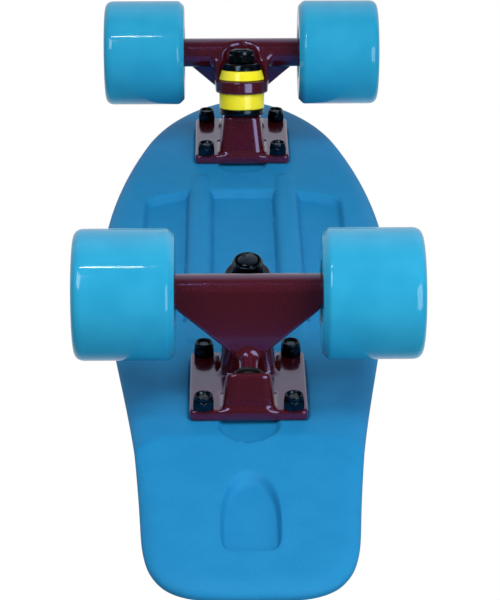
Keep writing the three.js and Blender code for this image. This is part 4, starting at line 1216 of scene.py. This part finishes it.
def top_height(share, y):
    """The deck's thickness, less a dip that goes from full to nothing as 1 - share^2."""
    outward = np.maximum(0, (np.abs(share) - FLAT_TOP_SHARE) / (1 - FLAT_TOP_SHARE))
    end_room = np.minimum(NOSE_TIP_Y - y, y - TAIL_TIP_Y)
    dip = TOP_DIP * (1 - outward ** 2) * smooth(end_room, TOP_ROUND, TAIL_END_LENGTH)
    return DECK_THICKNESS - dip


def deck_loops(rows):
    """Closed loops: the underside, then one edge as two quarter ovals, the top, and back."""
    outline = np.stack([deck_half_width(rows), rows], axis=-1)
    outward = outline_normals(outline)
    turn = np.linspace(0, math.pi / 2, WRAP_STEPS + 1)
    low_inset = UNDERSIDE_ROUND * (1 - np.sin(turn))
    low_height = RIM_HEIGHT * (1 - np.cos(turn))
    high_inset = TOP_ROUND * (1 - np.cos(turn))
    high_height = RIM_HEIGHT + (DECK_THICKNESS - RIM_HEIGHT) * np.sin(turn)
    inset = np.concatenate([low_inset, high_inset[1:]])
    height = np.concatenate([low_height, high_height[1:]])
    wrap = outline[:, None] - outward[:, None] * inset[:, None]
    wrap[..., 0] = np.maximum(wrap[..., 0], 0)

    under_x = wrap[:, :1, 0] * np.linspace(-1, 1, UNDER_COLUMNS)
    under_y = wrap[:, :1, 1] + 0 * under_x
    over_share = np.linspace(1, -1, OVER_COLUMNS)
    over_x = wrap[:, -1:, 0] * over_share
    over_y = wrap[:, -1:, 1] + 0 * over_x
    side_x, side_y = wrap[:, 1:-1, 0], wrap[:, 1:-1, 1]
    loops = [
        (under_x, under_y, underside_relief(under_x, under_y)),
        (side_x, side_y, height[1:-1] + 0 * side_x),
        (over_x, over_y, top_height(over_share, over_y)),
        (-side_x[:, ::-1], side_y[:, ::-1], (height[1:-1] + 0 * side_x)[:, ::-1]),
    ]
    x, y, z = (np.concatenate(parts, axis=1) for parts in zip(*loops))
    return np.stack([x, y, UNDERSIDE_Z + z + deck_rise(x, y)], axis=-1)


deck_points = deck_loops(deck_rows())
deck_faces = grid_faces(*deck_points.shape[:2], wraps=True)
stand_for("deck", deck_points, deck_faces)
print("deck:", len(deck_faces), "faces")

# %% [markdown]
# A countersunk bolt shows only its head, on top of the deck, because its tip ends inside the
# lock nut. The cross in the head is pressed in: its depth falls off with the distance to the
# nearer of two lines.

# %% Mounting bolts
BOLT_RADIUS, BOLT_HEAD_RADIUS = 2.5, 4.8
NUT_SEAT_Z = PLATE_FACE_Z - FIT_GAP
BOLT_TIP_Z = NUT_SEAT_Z - 5.6
HEAD_PROUD, HEAD_CONE_HEIGHT, HEAD_BEVEL, HEAD_BEVEL_HEIGHT = 0.15, 2.8, 0.3, 0.35
CROSS_HALF_WIDTH, CROSS_WIDTH_FADE = 0.75, 0.3
CROSS_REACH, CROSS_REACH_FADE, CROSS_DEPTH = 2.9, 0.9, 1.7


def cross_recess(x, y):
    """Depth of the cross: full within its arms, and nothing beyond their width and length."""
    off_arm = np.minimum(np.abs(x), np.abs(y))
    within_width = np.clip((CROSS_HALF_WIDTH - off_arm) / CROSS_WIDTH_FADE, 0, 1)
    within_length = np.clip((CROSS_REACH - np.hypot(x, y)) / CROSS_REACH_FADE, 0, 1)
    return CROSS_DEPTH * within_width * within_length


def deck_top_at(place):
    """Height of the deck's top at a place, at the highest of five points under the head."""
    x = place[0]
    y = place[1] + np.linspace(-BOLT_HEAD_RADIUS, BOLT_HEAD_RADIUS, 5)
    share = x / (deck_half_width(y) - TOP_ROUND)
    top = UNDERSIDE_Z + top_height(share, y) + deck_rise(x, y)
    return float(top.max())


def bolt(tip, top):
    """A chamfered shank, the head's cone and bevel, and a crown in fine rings for the cross."""
    shank = [(0, tip), (BOLT_RADIUS - 0.5, tip), (BOLT_RADIUS, tip + 0.5)]
    neck = [(BOLT_RADIUS, top - HEAD_CONE_HEIGHT)]
    rim = [(BOLT_HEAD_RADIUS, top - HEAD_BEVEL_HEIGHT), (BOLT_HEAD_RADIUS - HEAD_BEVEL, top)]
    across = np.linspace(BOLT_HEAD_RADIUS - HEAD_BEVEL - 0.1, 0, 30)
    crown = np.stack([across, top + 0 * across], axis=-1)
    points, faces = turned(np.vstack([shank, neck, rim, crown]), steps=72)
    x, y, z = np.moveaxis(points, -1, 0)
    in_crown = z > top - HEAD_BEVEL_HEIGHT / 2
    sunk = z - np.where(in_crown, cross_recess(x, y), 0)
    return np.stack([x, y, sunk], axis=-1), faces


hung_nut = pointing_down(lock_nut) + (0, 0, NUT_SEAT_Z)
for end, (turn, _) in ENDS.items():
    for place, y in (("inboard", PLATE_INBOARD + BOLT_Y), ("outboard", PLATE_INBOARD - BOLT_Y)):
        for hand, world_side in HANDS.items():
            name = f"{end}_{place}_{hand}"
            middle = np.array([world_side * turn * BOLT_X, y, 0])
            head_top = deck_top_at(at_truck(middle, end)) + HEAD_PROUD - AXLE_Z
            points, faces = bolt(BOLT_TIP_Z, head_top)
            stand_for(f"{name}_bolt", at_truck(points + middle, end), faces)
            stand_for(f"{name}_lock_nut", at_truck(hung_nut + middle, end), lock_nut_faces)
print("bolts and nuts: 16")
